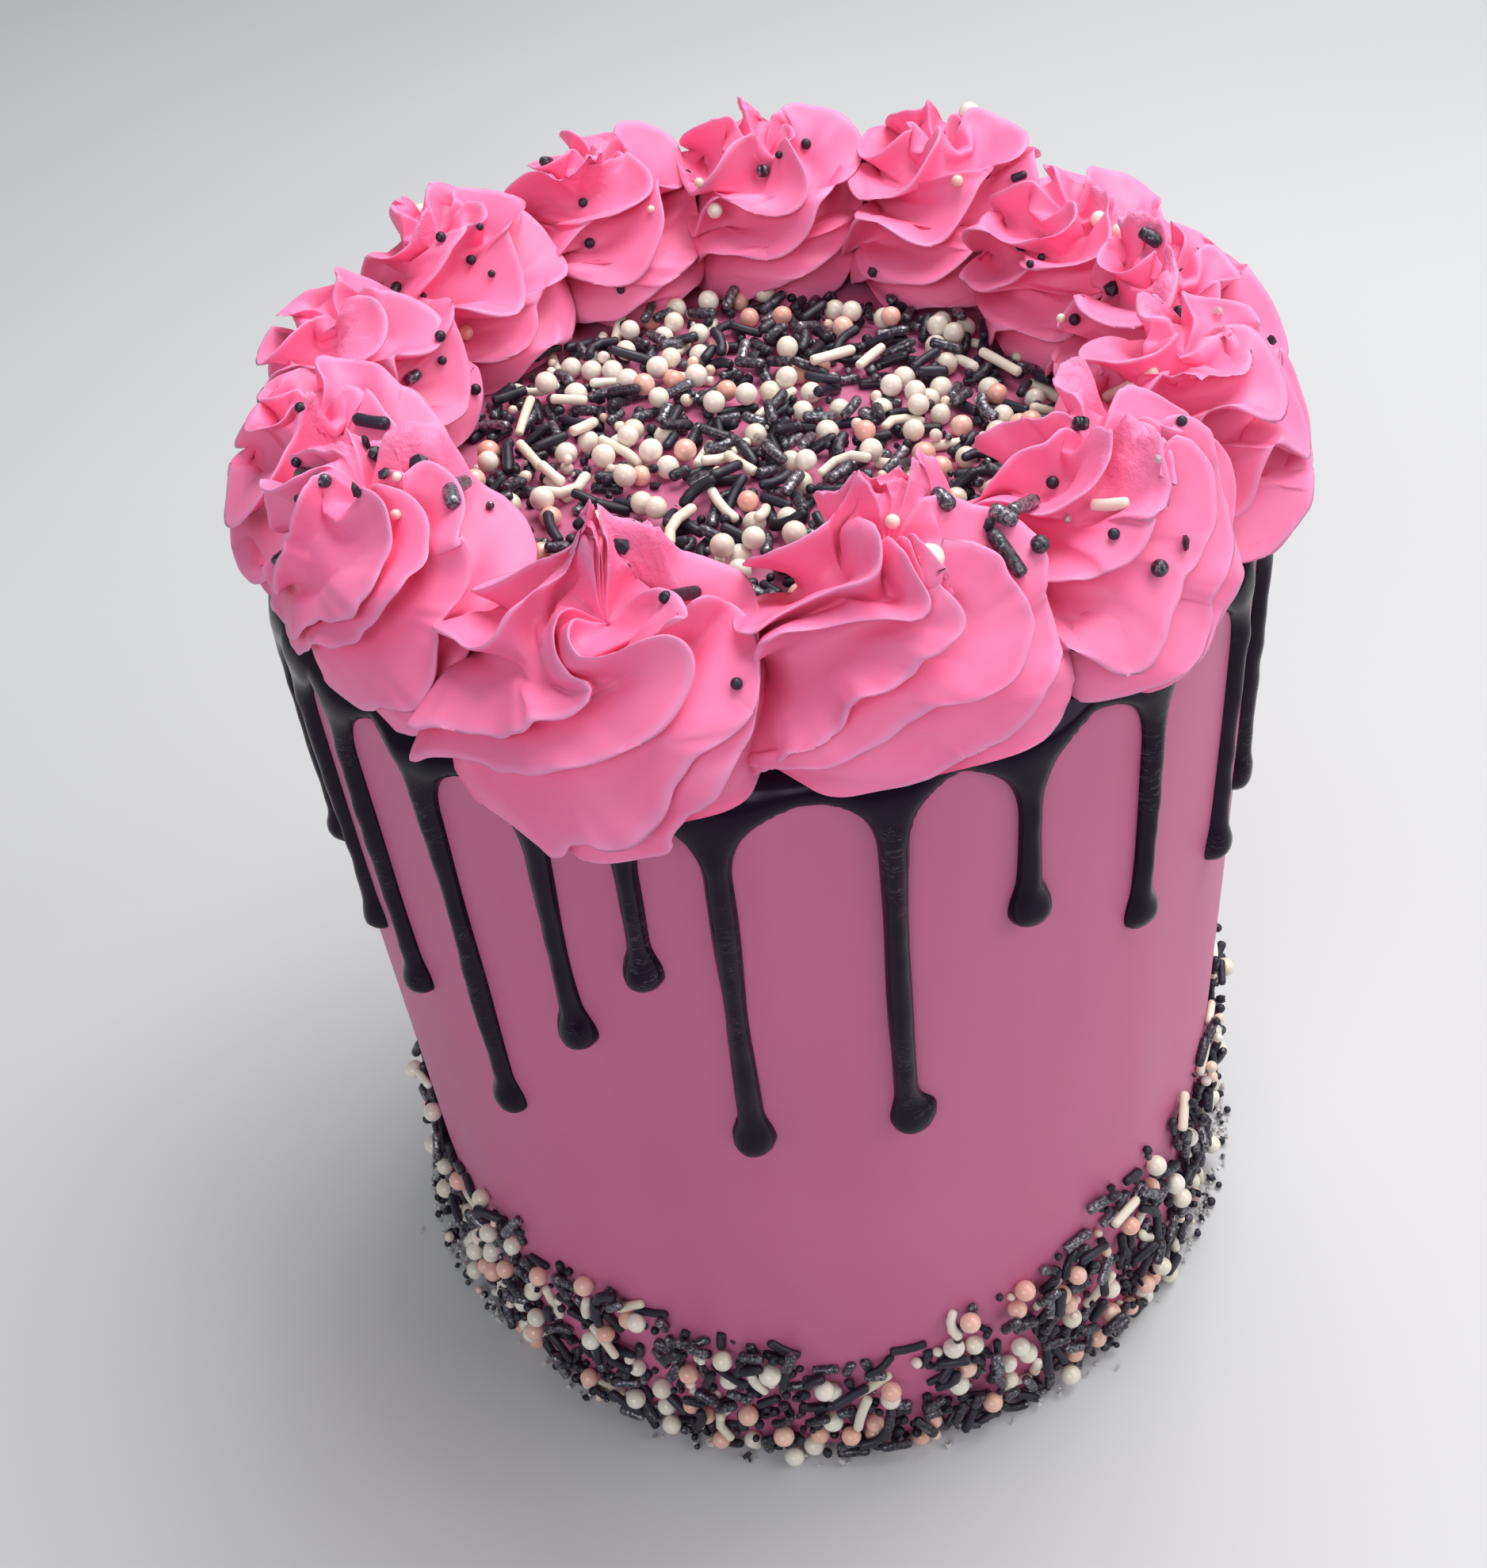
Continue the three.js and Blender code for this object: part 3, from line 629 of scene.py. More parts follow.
def build_rosette(item, left_gap, right_gap, index):
    az, dist, foot, front, tall, lean_out, lean_left, first, seed, tongues, lobes = item
    rng = np.random.default_rng(1000 + seed)
    rows = 136
    mer, s = curve_through([(r * foot, z * tall) for r, z in MERIDIAN], rows)
    mer[0, 0] = 0.02
    r = mer[:, 0]
    tan = np.gradient(mer, s, axis=0)
    tan /= np.linalg.norm(tan, axis=1)[:, None]
    nor = np.stack([-tan[:, 1], tan[:, 0]], -1)            # away from the rosette
    end = s[-1]

    def at(arr, q):
        return np.interp(np.clip(q, 0, end), s, arr)

    # crests keep an even spacing, so they turn faster where the rosette is wide
    pitch = rng.uniform(9.2, 10.4)
    rate = np.sqrt(np.maximum(1 / pitch**2 - (FINS / (TAU * np.maximum(r, 0.5))) ** 2, 0.0)) * TAU / FINS
    rate = np.convolve(np.pad(rate, 8, mode="edge"), np.ones(17) / 17, "valid") + 0.014
    turn = np.concatenate([[0], np.cumsum(0.5 * (rate[1:] + rate[:-1]) * np.diff(s))])
    step = np.sqrt(1 + (r * rate) ** 2)
    run = np.concatenate([[0], np.cumsum(0.5 * (step[1:] + step[:-1]) * np.diff(s))])     # length along a crest
    psi = np.arctan(r * rate)
    if index in GUIDES:
        S, A, added = guided_crests(GUIDES[index], rows, s, r)
        fins = S.shape[1]
    else:
        fins = FINS
        added = [False] * fins
        start = math.radians(first) + np.arange(FINS) * TAU / FINS + rng.uniform(-0.20, 0.20, FINS)
        S, A = np.zeros((rows, FINS)), np.zeros((rows, FINS))
        for k in range(FINS):
            # ribbons wander sideways, most near the peak, with one tighter fold
            wl = rng.uniform(19, 29)
            amp = rng.uniform(2.2, 3.8)
            w = amp * np.sin(TAU * run / wl + rng.uniform(0, TAU)) + 0.08 * amp * np.sin(TAU * run / (wl * 0.43) + rng.uniform(0, TAU))
            w += rng.choice([-1, 1]) * rng.uniform(1.0, 2.8) * np.exp(-(((run - rng.uniform(12, 34)) / rng.uniform(3.6, 5.0)) ** 2))
            w *= smooth(3, 10, s) * (1 - 0.60 * smooth(0.55, 0.90, s / end))
            S[:, k] = s + w * np.sin(psi)
            A[:, k] = start[k] - turn + w * np.cos(psi) / np.maximum(r, 5.0)
        S = np.clip(S, 0, end)
    rise = np.zeros((rows, fins + 1))
    curl = np.zeros((rows, fins + 1))
    for k in range(fins):
        rise[:, k] = rng.uniform(-0.4, 0.7) + 1.0 * np.sin(TAU * run / rng.uniform(22, 36) + rng.uniform(0, TAU)) + 0.08 * np.sin(TAU * run / 5.5 + rng.uniform(0, TAU))
        curl[:, k] = 2.3 + 0.9 * np.sin(TAU * run / rng.uniform(20, 34) + rng.uniform(0, TAU)) + 0.15 * np.sin(TAU * run / 7.3 + rng.uniform(0, TAU))
    S = np.concatenate([S, S[:, :1]], 1)
    A = np.concatenate([A, A[:, :1] + TAU], 1)
    rise[:, fins], curl[:, fins] = rise[:, 0], curl[:, 0]
    RR = at(r, S)
    # direction of each crest on the outline's surface: along it, and round it
    es, ea = np.gradient(S, axis=0), np.gradient(A, axis=0) * RR
    L = np.maximum(np.hypot(es, ea), 1e-6)
    es, ea = es / L, ea / L
    cols, channel_shade = [], []
    for k in range(fins):
        vs, va = S[:, k + 1] - S[:, k], (A[:, k + 1] - A[:, k]) * 0.5 * (RR[:, k] + RR[:, k + 1])
        p0 = np.maximum(np.abs(vs * ea[:, k] - va * es[:, k]), 0.4)
        p1 = np.maximum(np.abs(vs * ea[:, k + 1] - va * es[:, k + 1]), 0.4)
        room = np.convolve(np.pad(np.minimum(p0, p1), 5, mode="edge"), np.ones(11) / 11, "valid")
        full = np.minimum(7.2, 4.0 + 0.45 * room) * (0.25 + 0.75 * smooth(0.3, 2.2, room)) * np.minimum(1, 0.11 * RR[:, k] + 0.12) * (1 - 0.55 * smooth(0.74, 0.97, s / end))
        if added[k] or added[(k + 1) % fins]:
            full = full * smooth(1.2, 4.5, room)           # no thin pleats where added crests meet at the peak
        n0, n1 = len(EDGE_UNDER), len(EDGE_SLOPE)
        # painted shade of the channels: strongest where a channel is deep and narrow, carried to the material as an
        # attribute
        narrow = np.clip(1.25 - room / 9.5, 0.0, 1.0) * smooth(1.0, 7.0, RR[:, k])
        for i, (w, d) in enumerate(EDGE_UNDER):
            t = np.minimum(w / p0, 0.26 * i / (n0 - 1))
            cols.append((k, t, full * d, 1 - d, 0))
            channel_shade.append(narrow * smooth(0.45, 0.95, d))
        for t, d in MIDDLE:
            cols.append((k, np.full(rows, t), full * d, (1 - d) * 0.5, 0))
            channel_shade.append(narrow * smooth(0.45, 0.95, d) * (1 - 0.5 * t))
        for i, (w, d) in enumerate(EDGE_SLOPE):
            t = 1 - np.minimum(w / p1, 0.36 * (n1 - i) / n1)
            cols.append((k, t, full * d, 1 - d, 1))
            channel_shade.append(narrow * 0.5 * smooth(0.45, 1.1, d))
    C = len(cols)
    channel_shade = np.stack(channel_shade, -1)
    P = np.zeros((rows, C, 3))
    crest = np.zeros((rows, C))
    for j, (k, t, dep, share, near) in enumerate(cols):
        q = k + near
        over = curl[:, q] * share**1.4 * smooth(2.5, 9, r) * (1 - 0.6 * smooth(0.80, 1.0, s / end))
        s2 = lerp(S[:, k], S[:, k + 1], t) - over * ea[:, q]
        a2 = lerp(A[:, k], A[:, k + 1], t) + over * es[:, q] / np.maximum(RR[:, q], 4.5)
        s2 = np.clip(s2, 0, end)
        dep = dep - rise[:, q] * share * smooth(3, 10, s) * (1 - 0.8 * smooth(0.70, 0.95, s / end))
        rr = np.maximum(at(r, s2) - dep * at(nor[:, 0], s2), 0.02)
        P[:, j, 0] = rr * np.cos(a2)
        P[:, j, 1] = rr * np.sin(a2)
        P[:, j, 2] = at(mer[:, 1], s2) - dep * at(nor[:, 1], s2)
        crest[:, j] = share
    # tongues torn off when the piping tip was pulled away
    rim = np.exp(-(((s - 0.24 * end) / (0.12 * end)) ** 2))[:, None]
    peak_s = np.clip(1 - np.abs(s - 0.20 * end) / (0.18 * end), 0, 1)[:, None]
    dirs = np.degrees(np.arctan2(P[..., 1], P[..., 0]))
    torn = np.zeros((rows, C))
    for to, high, half in tongues:
        g = np.exp(-((((dirs - to + 180) % 360 - 180) / half) ** 2)) * rim
        P[..., 2] += high * g * (0.55 + 0.45 * crest)
        torn = np.maximum(torn, g)
    rough = 0.8 * waves(P, 4.2, 77 + seed) + 0.55 * waves(P, 1.7, 78 + seed)
    P[..., 2] += rough * (0.20 * peak_s * crest + 0.9 * torn) * smooth(0.0, 2.0, s)[:, None]
    torn = np.clip(torn + 0.2 * peak_s, 0, 1)
    # shorter outwards, wider where a neighbour stands far off
    P[..., 0] *= 1 - (1 - front) * smooth(0.25, 1.0, P[..., 0] / foot)
    wide = [max(0.0, (dist * math.tan(gap) * 1.25 + 1.0) / foot - 1) for gap in (left_gap, right_gap)]
    P[..., 1] *= 1 + wide[0] * smooth(0.1, 0.8, P[..., 1] / foot) + wide[1] * smooth(0.1, 0.8, -P[..., 1] / foot)
    # spread foot lobes
    low = smooth(0.62, 0.92, s / end)[:, None]
    for to, reach_by, half in lobes:
        g = np.exp(-((((dirs - to + 180) % 360 - 180) / half) ** 2)) * low * reach_by
        P[..., 0] += g * math.cos(math.radians(to))
        P[..., 1] += g * math.sin(math.radians(to))
        P[..., 2] -= 0.35 * g
    P += 0.7 * np.stack([waves(P, 21, 300 + seed * 3 + q) for q in range(3)], -1) * smooth(0, 4, P[..., 2:3])
    hshare = np.clip(P[..., 2] / tall, 0, 1.2) ** 1.4
    out = P[..., 0] + lean_out * hshare
    left = P[..., 1] + lean_left * hshare
    reach = np.hypot(dist + out, left)
    turn_by = np.arctan2(left, dist + out)
    limit = np.where(turn_by > 0, left_gap, right_gap)
    x = np.abs(turn_by) / limit
    knee = 0.82
    x = np.where(x <= knee, x, knee + (1.13 - knee) * np.tanh((x - knee) / (1.13 - knee)))
    th = math.radians(az) + np.sign(turn_by) * limit * x
    past = np.maximum(reach - (R - 5.0), 0)
    zz = H + 1.9 + np.maximum(P[..., 2], -1.5) - 0.32 * past - 0.018 * past**2
    # the inner part stands on the icing, the outer part on the ganache
    zz -= 1.6 * (1 - smooth(68, 73, reach)) * (1 - smooth(0, 6, P[..., 2]))
    Q = np.stack([reach * np.cos(th), reach * np.sin(th), zz], -1)
    verts = Q.reshape(-1, 3)
    quads = grid_faces(rows, C, True)
    j = np.arange(C)
    last = (rows - 1) * C
    n = len(verts)
    verts = np.vstack([verts, Q[-1].mean(0), Q[0].mean(0)])
    tris = np.vstack([np.stack([np.full(C, n), last + (j + 1) % C, last + j], -1), np.stack([np.full(C, n + 1), j, (j + 1) % C], -1)])
    all_tris = np.vstack([quads[:, :3], quads[:, [0, 2, 3]], tris])
    if signed_volume(verts - verts.mean(0), all_tris) < 0:
        quads = quads[:, ::-1]
        tris = tris[:, ::-1]
    attrs = {"crest": np.append(crest.ravel(), [0, 0]), "torn": np.append(torn.ravel(), [0, 0]), "channel_shade": np.append(channel_shade.ravel(), [0, 0])}
    return make(f"piped_rosette_{index:02d}", verts, quads, tris, attrs=attrs)


def build_rosettes():
    mat = piped_material()
    found = []
    n = len(ROSETTES)
    for i, item in enumerate(ROSETTES):
        left = math.radians((ROSETTES[(i + 1) % n][0] - item[0]) % 360) / 2
        right = math.radians((item[0] - ROSETTES[i - 1][0]) % 360) / 2
        ob = build_rosette(item, left, right, i + 1)
        ob.data.materials.append(mat)
        found.append(ob)
    return found


# ------------------------------------------------------------------------ build
body = build_body()
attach(body, "root")
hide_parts("cake_body")

ganache = build_ganache()
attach(ganache, "root")
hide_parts("ganache_drip")

rosettes = build_rosettes()
for i, ob in enumerate(rosettes):
    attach(ob, "root")
    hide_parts(f"rosette_{i + 1:02d}")


# ------------------------------------------------------------------- sprinkles
# kind: (radius, shortest, longest) in mm; round ones have no length
ROD_KINDS = {"sprinkles_graphite": (1.02, 3.8, 6.6), "sprinkles_black": (0.95, 4.2, 7.8), "sprinkles_ivory": (0.95, 6.0, 10.5)}
BALL_KINDS = {"pearls_ivory": (1.85, 2.10), "pearls_peach": (1.80, 2.05), "beads_small": (0.85, 1.20),
              "dots_black": (0.70, 1.05), "dots_silver": (0.50, 0.80), "chips_black": (0.60, 1.05), "sugar_crystals": (0.35, 0.70)}


def ball_points(around, rings):
    a = np.arange(1, rings) / rings * math.pi
    t = np.arange(around) / around * TAU
    v = np.stack([np.outer(np.sin(a), np.cos(t)), np.outer(np.sin(a), np.sin(t)), np.outer(np.cos(a), np.ones(around))], -1).reshape(-1, 3)
    v = np.vstack([v, [[0, 0, 1], [0, 0, -1]]])
    n = (rings - 1) * around
    tris = []
    for i in range(rings - 2):
        for j in range(around):
            p, q = i * around + j, i * around + (j + 1) % around
            tris += [(p, p + around, q + around), (p, q + around, q)]
    for j in range(around):
        tris.append((n, j, (j + 1) % around))
        tris.append((n + 1, n - around + (j + 1) % around, n - around + j))
    return v, np.array(tris)


def icosa():
    g = (1 + math.sqrt(5)) / 2
    v = np.array([(-1, g, 0), (1, g, 0), (-1, -g, 0), (1, -g, 0), (0, -1, g), (0, 1, g), (0, -1, -g), (0, 1, -g), (g, 0, -1), (g, 0, 1), (-g, 0, -1), (-g, 0, 1)], float)
    t = np.array([(0, 11, 5), (0, 5, 1), (0, 1, 7), (0, 7, 10), (0, 10, 11), (1, 5, 9), (5, 11, 4), (11, 10, 2), (10, 7, 6), (7, 1, 8),
                  (3, 9, 4), (3, 4, 2), (3, 2, 6), (3, 6, 8), (3, 8, 9), (4, 9, 5), (2, 4, 11), (6, 2, 10), (8, 6, 7), (9, 8, 1)])
    return v / np.linalg.norm(v[0]), t


PEARL = ball_points(16, 9)
DOT = ball_points(10, 6)
GRAIN = icosa()


def spin(rng):
    """A random rotation."""
    q = rng.normal(size=4)
    q /= np.linalg.norm(q)
    w, x, y, z = q
    return np.array([[1 - 2 * (y * y + z * z), 2 * (x * y - z * w), 2 * (x * z + y * w)],
                     [2 * (x * y + z * w), 1 - 2 * (x * x + z * z), 2 * (y * z - x * w)],
                     [2 * (x * z - y * w), 2 * (y * z + x * w), 1 - 2 * (x * x + y * y)]])


ROD_AROUND = 10
ROD_ENDS = [(0.0, 0.0), (0.10, 0.60), (0.34, 0.88), (0.80, 1.0)]        # distance from the end and radius, in radii


def rod_mesh(rng, axis_points, radius):
    """A sugar rod with blunt rounded ends along a curved axis."""
    p = np.asarray(axis_points, float)
    s = np.concatenate([[0], np.cumsum(np.linalg.norm(np.diff(p, axis=0), axis=1))])
    L = s[-1]
    at = [d * radius for d, _ in ROD_ENDS] + [L * 0.36, L * 0.64] + [L - d * radius for d, _ in ROD_ENDS[::-1]]
    rad = [k for _, k in ROD_ENDS] + [1.0, 1.0] + [k for _, k in ROD_ENDS[::-1]]
    c = np.stack([np.interp(at, s, p[:, k]) for k in range(3)], -1)
    d = np.gradient(p, s, axis=0)
    d = np.stack([np.interp(at, s, d[:, k]) for k in range(3)], -1)
    d /= np.linalg.norm(d, axis=1)[:, None]
    ref = np.array([0.0, 0.0, 1.0]) if abs(d[0, 2]) < 0.9 else np.array([1.0, 0.0, 0.0])
    a = np.cross(d, ref)
    a /= np.linalg.norm(a, axis=1)[:, None]
    b = np.cross(d, a)
    t = np.arange(ROD_AROUND) / ROD_AROUND * TAU
    squash = rng.uniform(0.90, 1.0)
    lump = 1 + rng.uniform(-0.07, 0.07, len(at))
    rings = []
    for i in range(1, len(at) - 1):
        rr = radius * rad[i] * lump[i]
        rings.append(c[i] + rr * (np.cos(t)[:, None] * a[i] + squash * np.sin(t)[:, None] * b[i]))
    v = np.vstack(rings + [c[:1], c[-1:]])
    m = len(at) - 2
    tris = []
    for i in range(m - 1):
        for j in range(ROD_AROUND):
            q0, q1 = i * ROD_AROUND + j, i * ROD_AROUND + (j + 1) % ROD_AROUND
            tris += [(q0, q0 + ROD_AROUND, q1 + ROD_AROUND), (q0, q1 + ROD_AROUND, q1)]
    n = m * ROD_AROUND
    for j in range(ROD_AROUND):
        tris.append((n, j, (j + 1) % ROD_AROUND))
        tris.append((n + 1, n - ROD_AROUND + (j + 1) % ROD_AROUND, n - ROD_AROUND + j))
    return v, np.array(tris)


class Scatter:
    """Collects the pieces of every kind, to be joined into one mesh for each."""

    def __init__(self):
        self.parts = {}

    def put(self, kind, verts, tris, tone):
        self.parts.setdefault(kind, []).append((verts, tris, tone))

    def ball(self, rng, kind, centre, radius, world=lambda p: p, fine=False):
        if kind in ("chips_black", "sugar_crystals"):
            v, t = GRAIN
            stretch = rng.uniform(0.65, 1.15, 3) if kind == "sugar_crystals" else rng.uniform(0.5, 1.5, 3)
            v = (v * rng.uniform(0.75, 1.2, (len(v), 1)) * stretch) @ spin(rng).T * radius
        elif fine or kind.startswith("pearls"):
            v, t = PEARL
            v = (v * (1 + 0.02 * rng.normal(size=3).clip(-1.5, 1.5))) @ spin(rng).T * radius
        else:
            v, t = DOT
            v = (v * (1 + 0.06 * rng.normal(size=3).clip(-1.5, 1.5))) @ spin(rng).T * radius
        self.put(kind, world(v + centre), t, rng.uniform())

    def rod(self, rng, kind, axis, radius, world=lambda p: p):
        v, t = rod_mesh(rng, axis, radius)
        self.put(kind, world(v), t, rng.uniform())

    def build(self, materials):
        out = []
        for kind in sorted(self.parts):
            vs, ts, tones, n = [], [], [], 0
            for v, t, tone in self.parts[kind]:
                vs.append(v)
                ts.append(t + n)
                tones.append(np.full(len(v), tone))
                n += len(v)
            flat = kind in ("chips_black", "sugar_crystals")
            ob = make(kind, np.vstack(vs), None, np.vstack(ts), smooth_shade=not flat, attrs={"tone": np.concatenate(tones)})
            ob.data.materials.append(materials[kind])
            out.append(ob)
        return out


class Heap:
    """Pieces laid one after another on a patch: x and y along it, h away from it."""

    def __init__(self, room=16000):
        self.p = np.zeros((room, 3))
        self.r = np.zeros(room)
        self.n = 0

    def add(self, pts, r):
        k = len(pts)
        self.p[self.n:self.n + k] = pts
        self.r[self.n:self.n + k] = r
        self.n += k

    def rest_height(self, xy, r, sink):
        p, rad = self.p[:self.n], self.r[:self.n]
        need = np.full(len(xy), r * sink)
        if self.n == 0:
            return need
        for i, q in enumerate(xy):
            near = np.nonzero((np.abs(p[:, 0] - q[0]) < r + 2.2) & (np.abs(p[:, 1] - q[1]) < r + 2.2))[0]
            if len(near) == 0:
                continue
            d2 = (p[near, 0] - q[0]) ** 2 + (p[near, 1] - q[1]) ** 2
            reach = (r + rad[near]) * 0.97
            over = reach**2 - d2
            hit = over > 0
            if hit.any():
                need[i] = max(need[i], float((p[near][hit, 2] + np.sqrt(over[hit])).max()))
        return need


def lay(heap, rng, scatter, kind, pick, world, sink=0.85, tries=5, highest=5.0, turn=None, low=-1e9):
    """Lays one piece at the lowest of a few places and records it."""
    best = None
    if kind in ROD_KINDS:
        radius, short, long_ = ROD_KINDS[kind]
        radius *= rng.uniform(0.90, 1.08)
        L = rng.uniform(short, long_)
        m = max(3, int(math.ceil(L / (radius * 1.5))))
        m += 1 - m % 2
        t = np.linspace(-0.5, 0.5, m) * (L - 1.2 * radius)
        bend = rng.normal() * 0.025 if rng.uniform() < 0.85 else rng.choice([-1, 1]) * rng.uniform(0.10, 0.20)
        side = bend * (t**2 - (0.5 * L) ** 2 * 0.33)
        for _ in range(tries):
            x, y = pick(rng)
            a = rng.uniform(0, TAU) if turn is None else turn(rng)
            xy = np.stack([x + t * math.cos(a) - side * math.sin(a), y + t * math.sin(a) + side * math.cos(a)], -1)
            xy[:, 1] += max(0.0, low + 1.7 * radius - xy[:, 1].min())
            need = heap.rest_height(xy, radius, sink)
            # the lowest straight line that clears all the supports
            top = None
            for i in range(m):
                for j in range(i + 1, m):
                    b = (need[j] - need[i]) / (t[j] - t[i])
                    if abs(b) > 0.55:
                        continue
                    line = need[i] + b * (t - t[i])
                    if (line >= need - 0.02).all() and (top is None or line.mean() < top.mean()):
                        top = line
            if top is None:
                top = np.full(m, need.max())
            score = top.mean() / radius
            if best is None or score < best[0]:
                best = (score, xy, top, a)
        _, xy, h, a = best
        if h.max() > highest:
            return False
        pts = np.column_stack([xy, h])
        heap.add(pts, radius)
        ends = 0.6 * radius
        d0, d1 = pts[0] - pts[1], pts[-1] - pts[-2]
        axis = np.vstack([pts[0] + d0 / np.linalg.norm(d0) * ends, pts, pts[-1] + d1 / np.linalg.norm(d1) * ends])
        scatter.rod(rng, kind, axis, radius, world)
    else:
        lo, hi = BALL_KINDS[kind]
        radius = rng.uniform(lo, hi)
        for _ in range(tries):
            x, y = pick(rng)
            y = max(y, low + 1.1 * radius)
            h = heap.rest_height(np.array([[x, y]]), radius, sink)[0]
            if best is None or h < best[0]:
                best = (h, x, y)
        h, x, y = best
        if h > highest:
            return False
        heap.add(np.array([[x, y, h]]), radius)
        scatter.ball(rng, kind, np.array([x, y, h]), radius, world)
    return True


def on_top(p):
    q = np.array(p, float)
    q[:, 2] += H
    return q


def on_side(p):
    q = np.asarray(p, float)
    a, r = q[:, 0] / R, R + q[:, 2]
    return np.stack([r * np.cos(a), r * np.sin(a), q[:, 1]], -1)


def on_floor(p):
    q = np.asarray(p, float)
    a, r = q[:, 0] / R, R + q[:, 1]
    return np.stack([r * np.cos(a), r * np.sin(a), q[:, 2]], -1)


# height of the band of sprinkles round the foot, by azimuth
BAND_AZ = [-180, -168, -160, -149, -135, -123, -113, -105, -98, -92, -87, -82, -77, -72, -64, -52, -36, -24, -10, 10, 40, 75, 110, 150, 180]
BAND_TOP = [52, 56, 47, 42, 49, 49, 46, 41, 43, 31, 33, 35, 43, 41, 45, 57, 53, 60, 62, 50, 42, 52, 40, 48, 52]


def fill_top(scatter, rng):
    heap = Heap()
    bare = [(-49, 9, 5.5), (-0.2, 19.6, 4.5), (19, 15, 4.5), (-14.5, -11, 4.0), (-33, -13, 3.5), (30, -2, 2.5), (3, 41, 3.0)]

    def pick(r):
        while True:
            d, a = 52.5 * math.sqrt(r.uniform()), r.uniform(0, TAU)
            x, y = d * math.cos(a), d * math.sin(a)
            if d > 46 and r.uniform() < 0.30:
                continue
            if all((x - bx) ** 2 + (y - by) ** 2 > (br * r.uniform(0.75, 1.15)) ** 2 for bx, by, br in bare):
                return x, y

    plan = [("sprinkles_graphite", 250), ("sprinkles_black", 165), ("sprinkles_ivory", 48), ("pearls_ivory", 100), ("pearls_peach", 34),
            ("beads_small", 60), ("dots_black", 210), ("chips_black", 60), ("dots_silver", 50), ("sugar_crystals", 40)]
    big = [k for k, n in plan[:5] for _ in range(n)]
    small = [k for k, n in plan[5:] for _ in range(n)]
    rng.shuffle(big)
    rng.shuffle(small)
    for kind in big:
        lay(heap, rng, scatter, kind, pick, on_top, sink=0.88, tries=5, highest=6.0)
    for kind in small:
        lay(heap, rng, scatter, kind, pick, on_top, sink=0.85, tries=4, highest=3.1)


def fill_foot(scatter, rng):
    heap = Heap(30000)
    gap_seed = 901

    def pick_band(low_first):
        def pick(r):
            while True:
                az = r.uniform(-180, 180)
                u = math.radians(az) * R
                top = float(np.interp(az, BAND_AZ, BAND_TOP)) + 3.0 * float(waves(np.array([math.cos(u / R) * R, math.sin(u / R) * R]), 14, 55))
                z = 1.0 + (top - 1.0) * r.uniform() ** low_first
                if r.uniform() < 0.55 * smooth(0.62, 1.0, z / top):
                    continue
                hole = float(waves(np.array([u, z * 1.2]), 17, gap_seed))
                if z > 7 and hole > 0.62 and r.uniform() < 0.92:
                    continue
                return u, z
        return pick

    pick = pick_band(1.22)
    # the two edges of the unrolled side meet behind the cake
    plan = [("sprinkles_graphite", 560), ("sprinkles_black", 400), ("sprinkles_ivory", 95), ("pearls_ivory", 150), ("pearls_peach", 110)]
    big = [k for k, n in plan for _ in range(n)]
    rng.shuffle(big)
    for kind in big:
        lay(heap, rng, scatter, kind, pick, on_side, sink=0.80, tries=4, highest=4.4, low=0.0)
    fine = pick_band(1.5)
    small = [k for k, n in (("beads_small", 170), ("dots_black", 640), ("chips_black", 240), ("dots_silver", 130)) for _ in range(n)]
    rng.shuffle(small)
    for kind in small:
        lay(heap, rng, scatter, kind, fine, on_side, sink=0.8, tries=3, highest=3.1, low=0.0)
    # loose ones round the foot, lying on the floor against the side
    floor = Heap(30000)
    low = heap.p[:heap.n][:, 1] < 9
    q, rr = heap.p[:heap.n][low], heap.r[:heap.n][low]
    for a, b in zip(q, rr):
        floor.add(np.array([[a[0], a[2], a[1]]]), b)

    def pick_floor(scale):
        def pick(r):
            az = r.uniform(-180, 180)
            away = abs((az + 88 + 180) % 360 - 180)
            width = lerp(3.2, 7.5, float(smooth(48, 85, away))) * scale
            return math.radians(az) * R, 0.8 + width * r.uniform() ** 1.5
        return pick

    for kind, n in (("sprinkles_graphite", 50), ("sprinkles_black", 26), ("pearls_ivory", 9), ("pearls_peach", 8), ("sprinkles_ivory", 7)):
        for _ in range(n):
            lay(floor, rng, scatter, kind, pick_floor(0.8), on_floor, sink=1.0, tries=8, highest=3.6)
    for kind, n in (("dots_black", 150), ("beads_small", 30), ("chips_black", 90), ("dots_silver", 90), ("sugar_crystals", 900)):
        for _ in range(n):
            lay(floor, rng, scatter, kind, pick_floor(1.1), on_floor, sink=1.0, tries=4, highest=3.0)
    # a few that rolled away: x, y, kind
    for x, y, kind in ((-95.0, -23.0, "sugar_crystals"), (-41.8, -79.5, "sugar_crystals"), (55.2, -73.6, "sugar_crystals"),
                       (95.5, 17.0, "dots_black"), (96.0, 26.0, "dots_black"), (-93.5, 12.0, "sprinkles_black")):
        if kind in ROD_KINDS:
            a = 0.6
            axis = [(x - 2.5 * math.cos(a), y - 2.5 * math.sin(a), 1.0), (x, y, 1.0), (x + 2.5 * math.cos(a), y + 2.5 * math.sin(a), 1.0)]
            scatter.rod(rng, kind, axis, 1.0)
        else:
            r0 = 0.8 if kind == "dots_black" else 0.6
            scatter.ball(rng, kind, np.array([x, y, r0]), r0)


CAM_AT = np.array([0.0, -273.49994, 355.11492])
CAM_RIGHT = np.array([0.9944909, -0.04956866, -0.09236233])
CAM_UP = np.array([0.1016924, 0.66996146, 0.73539806])
CAM_AHEAD = np.array([-0.0254265, 0.74073922, -0.67131133])
CAM_FOCAL = 2334.592


def sight(px, py):
    d = CAM_AHEAD + CAM_RIGHT * (px - 938) / CAM_FOCAL - CAM_UP * (py - 989) / CAM_FOCAL
    return d / np.linalg.norm(d)


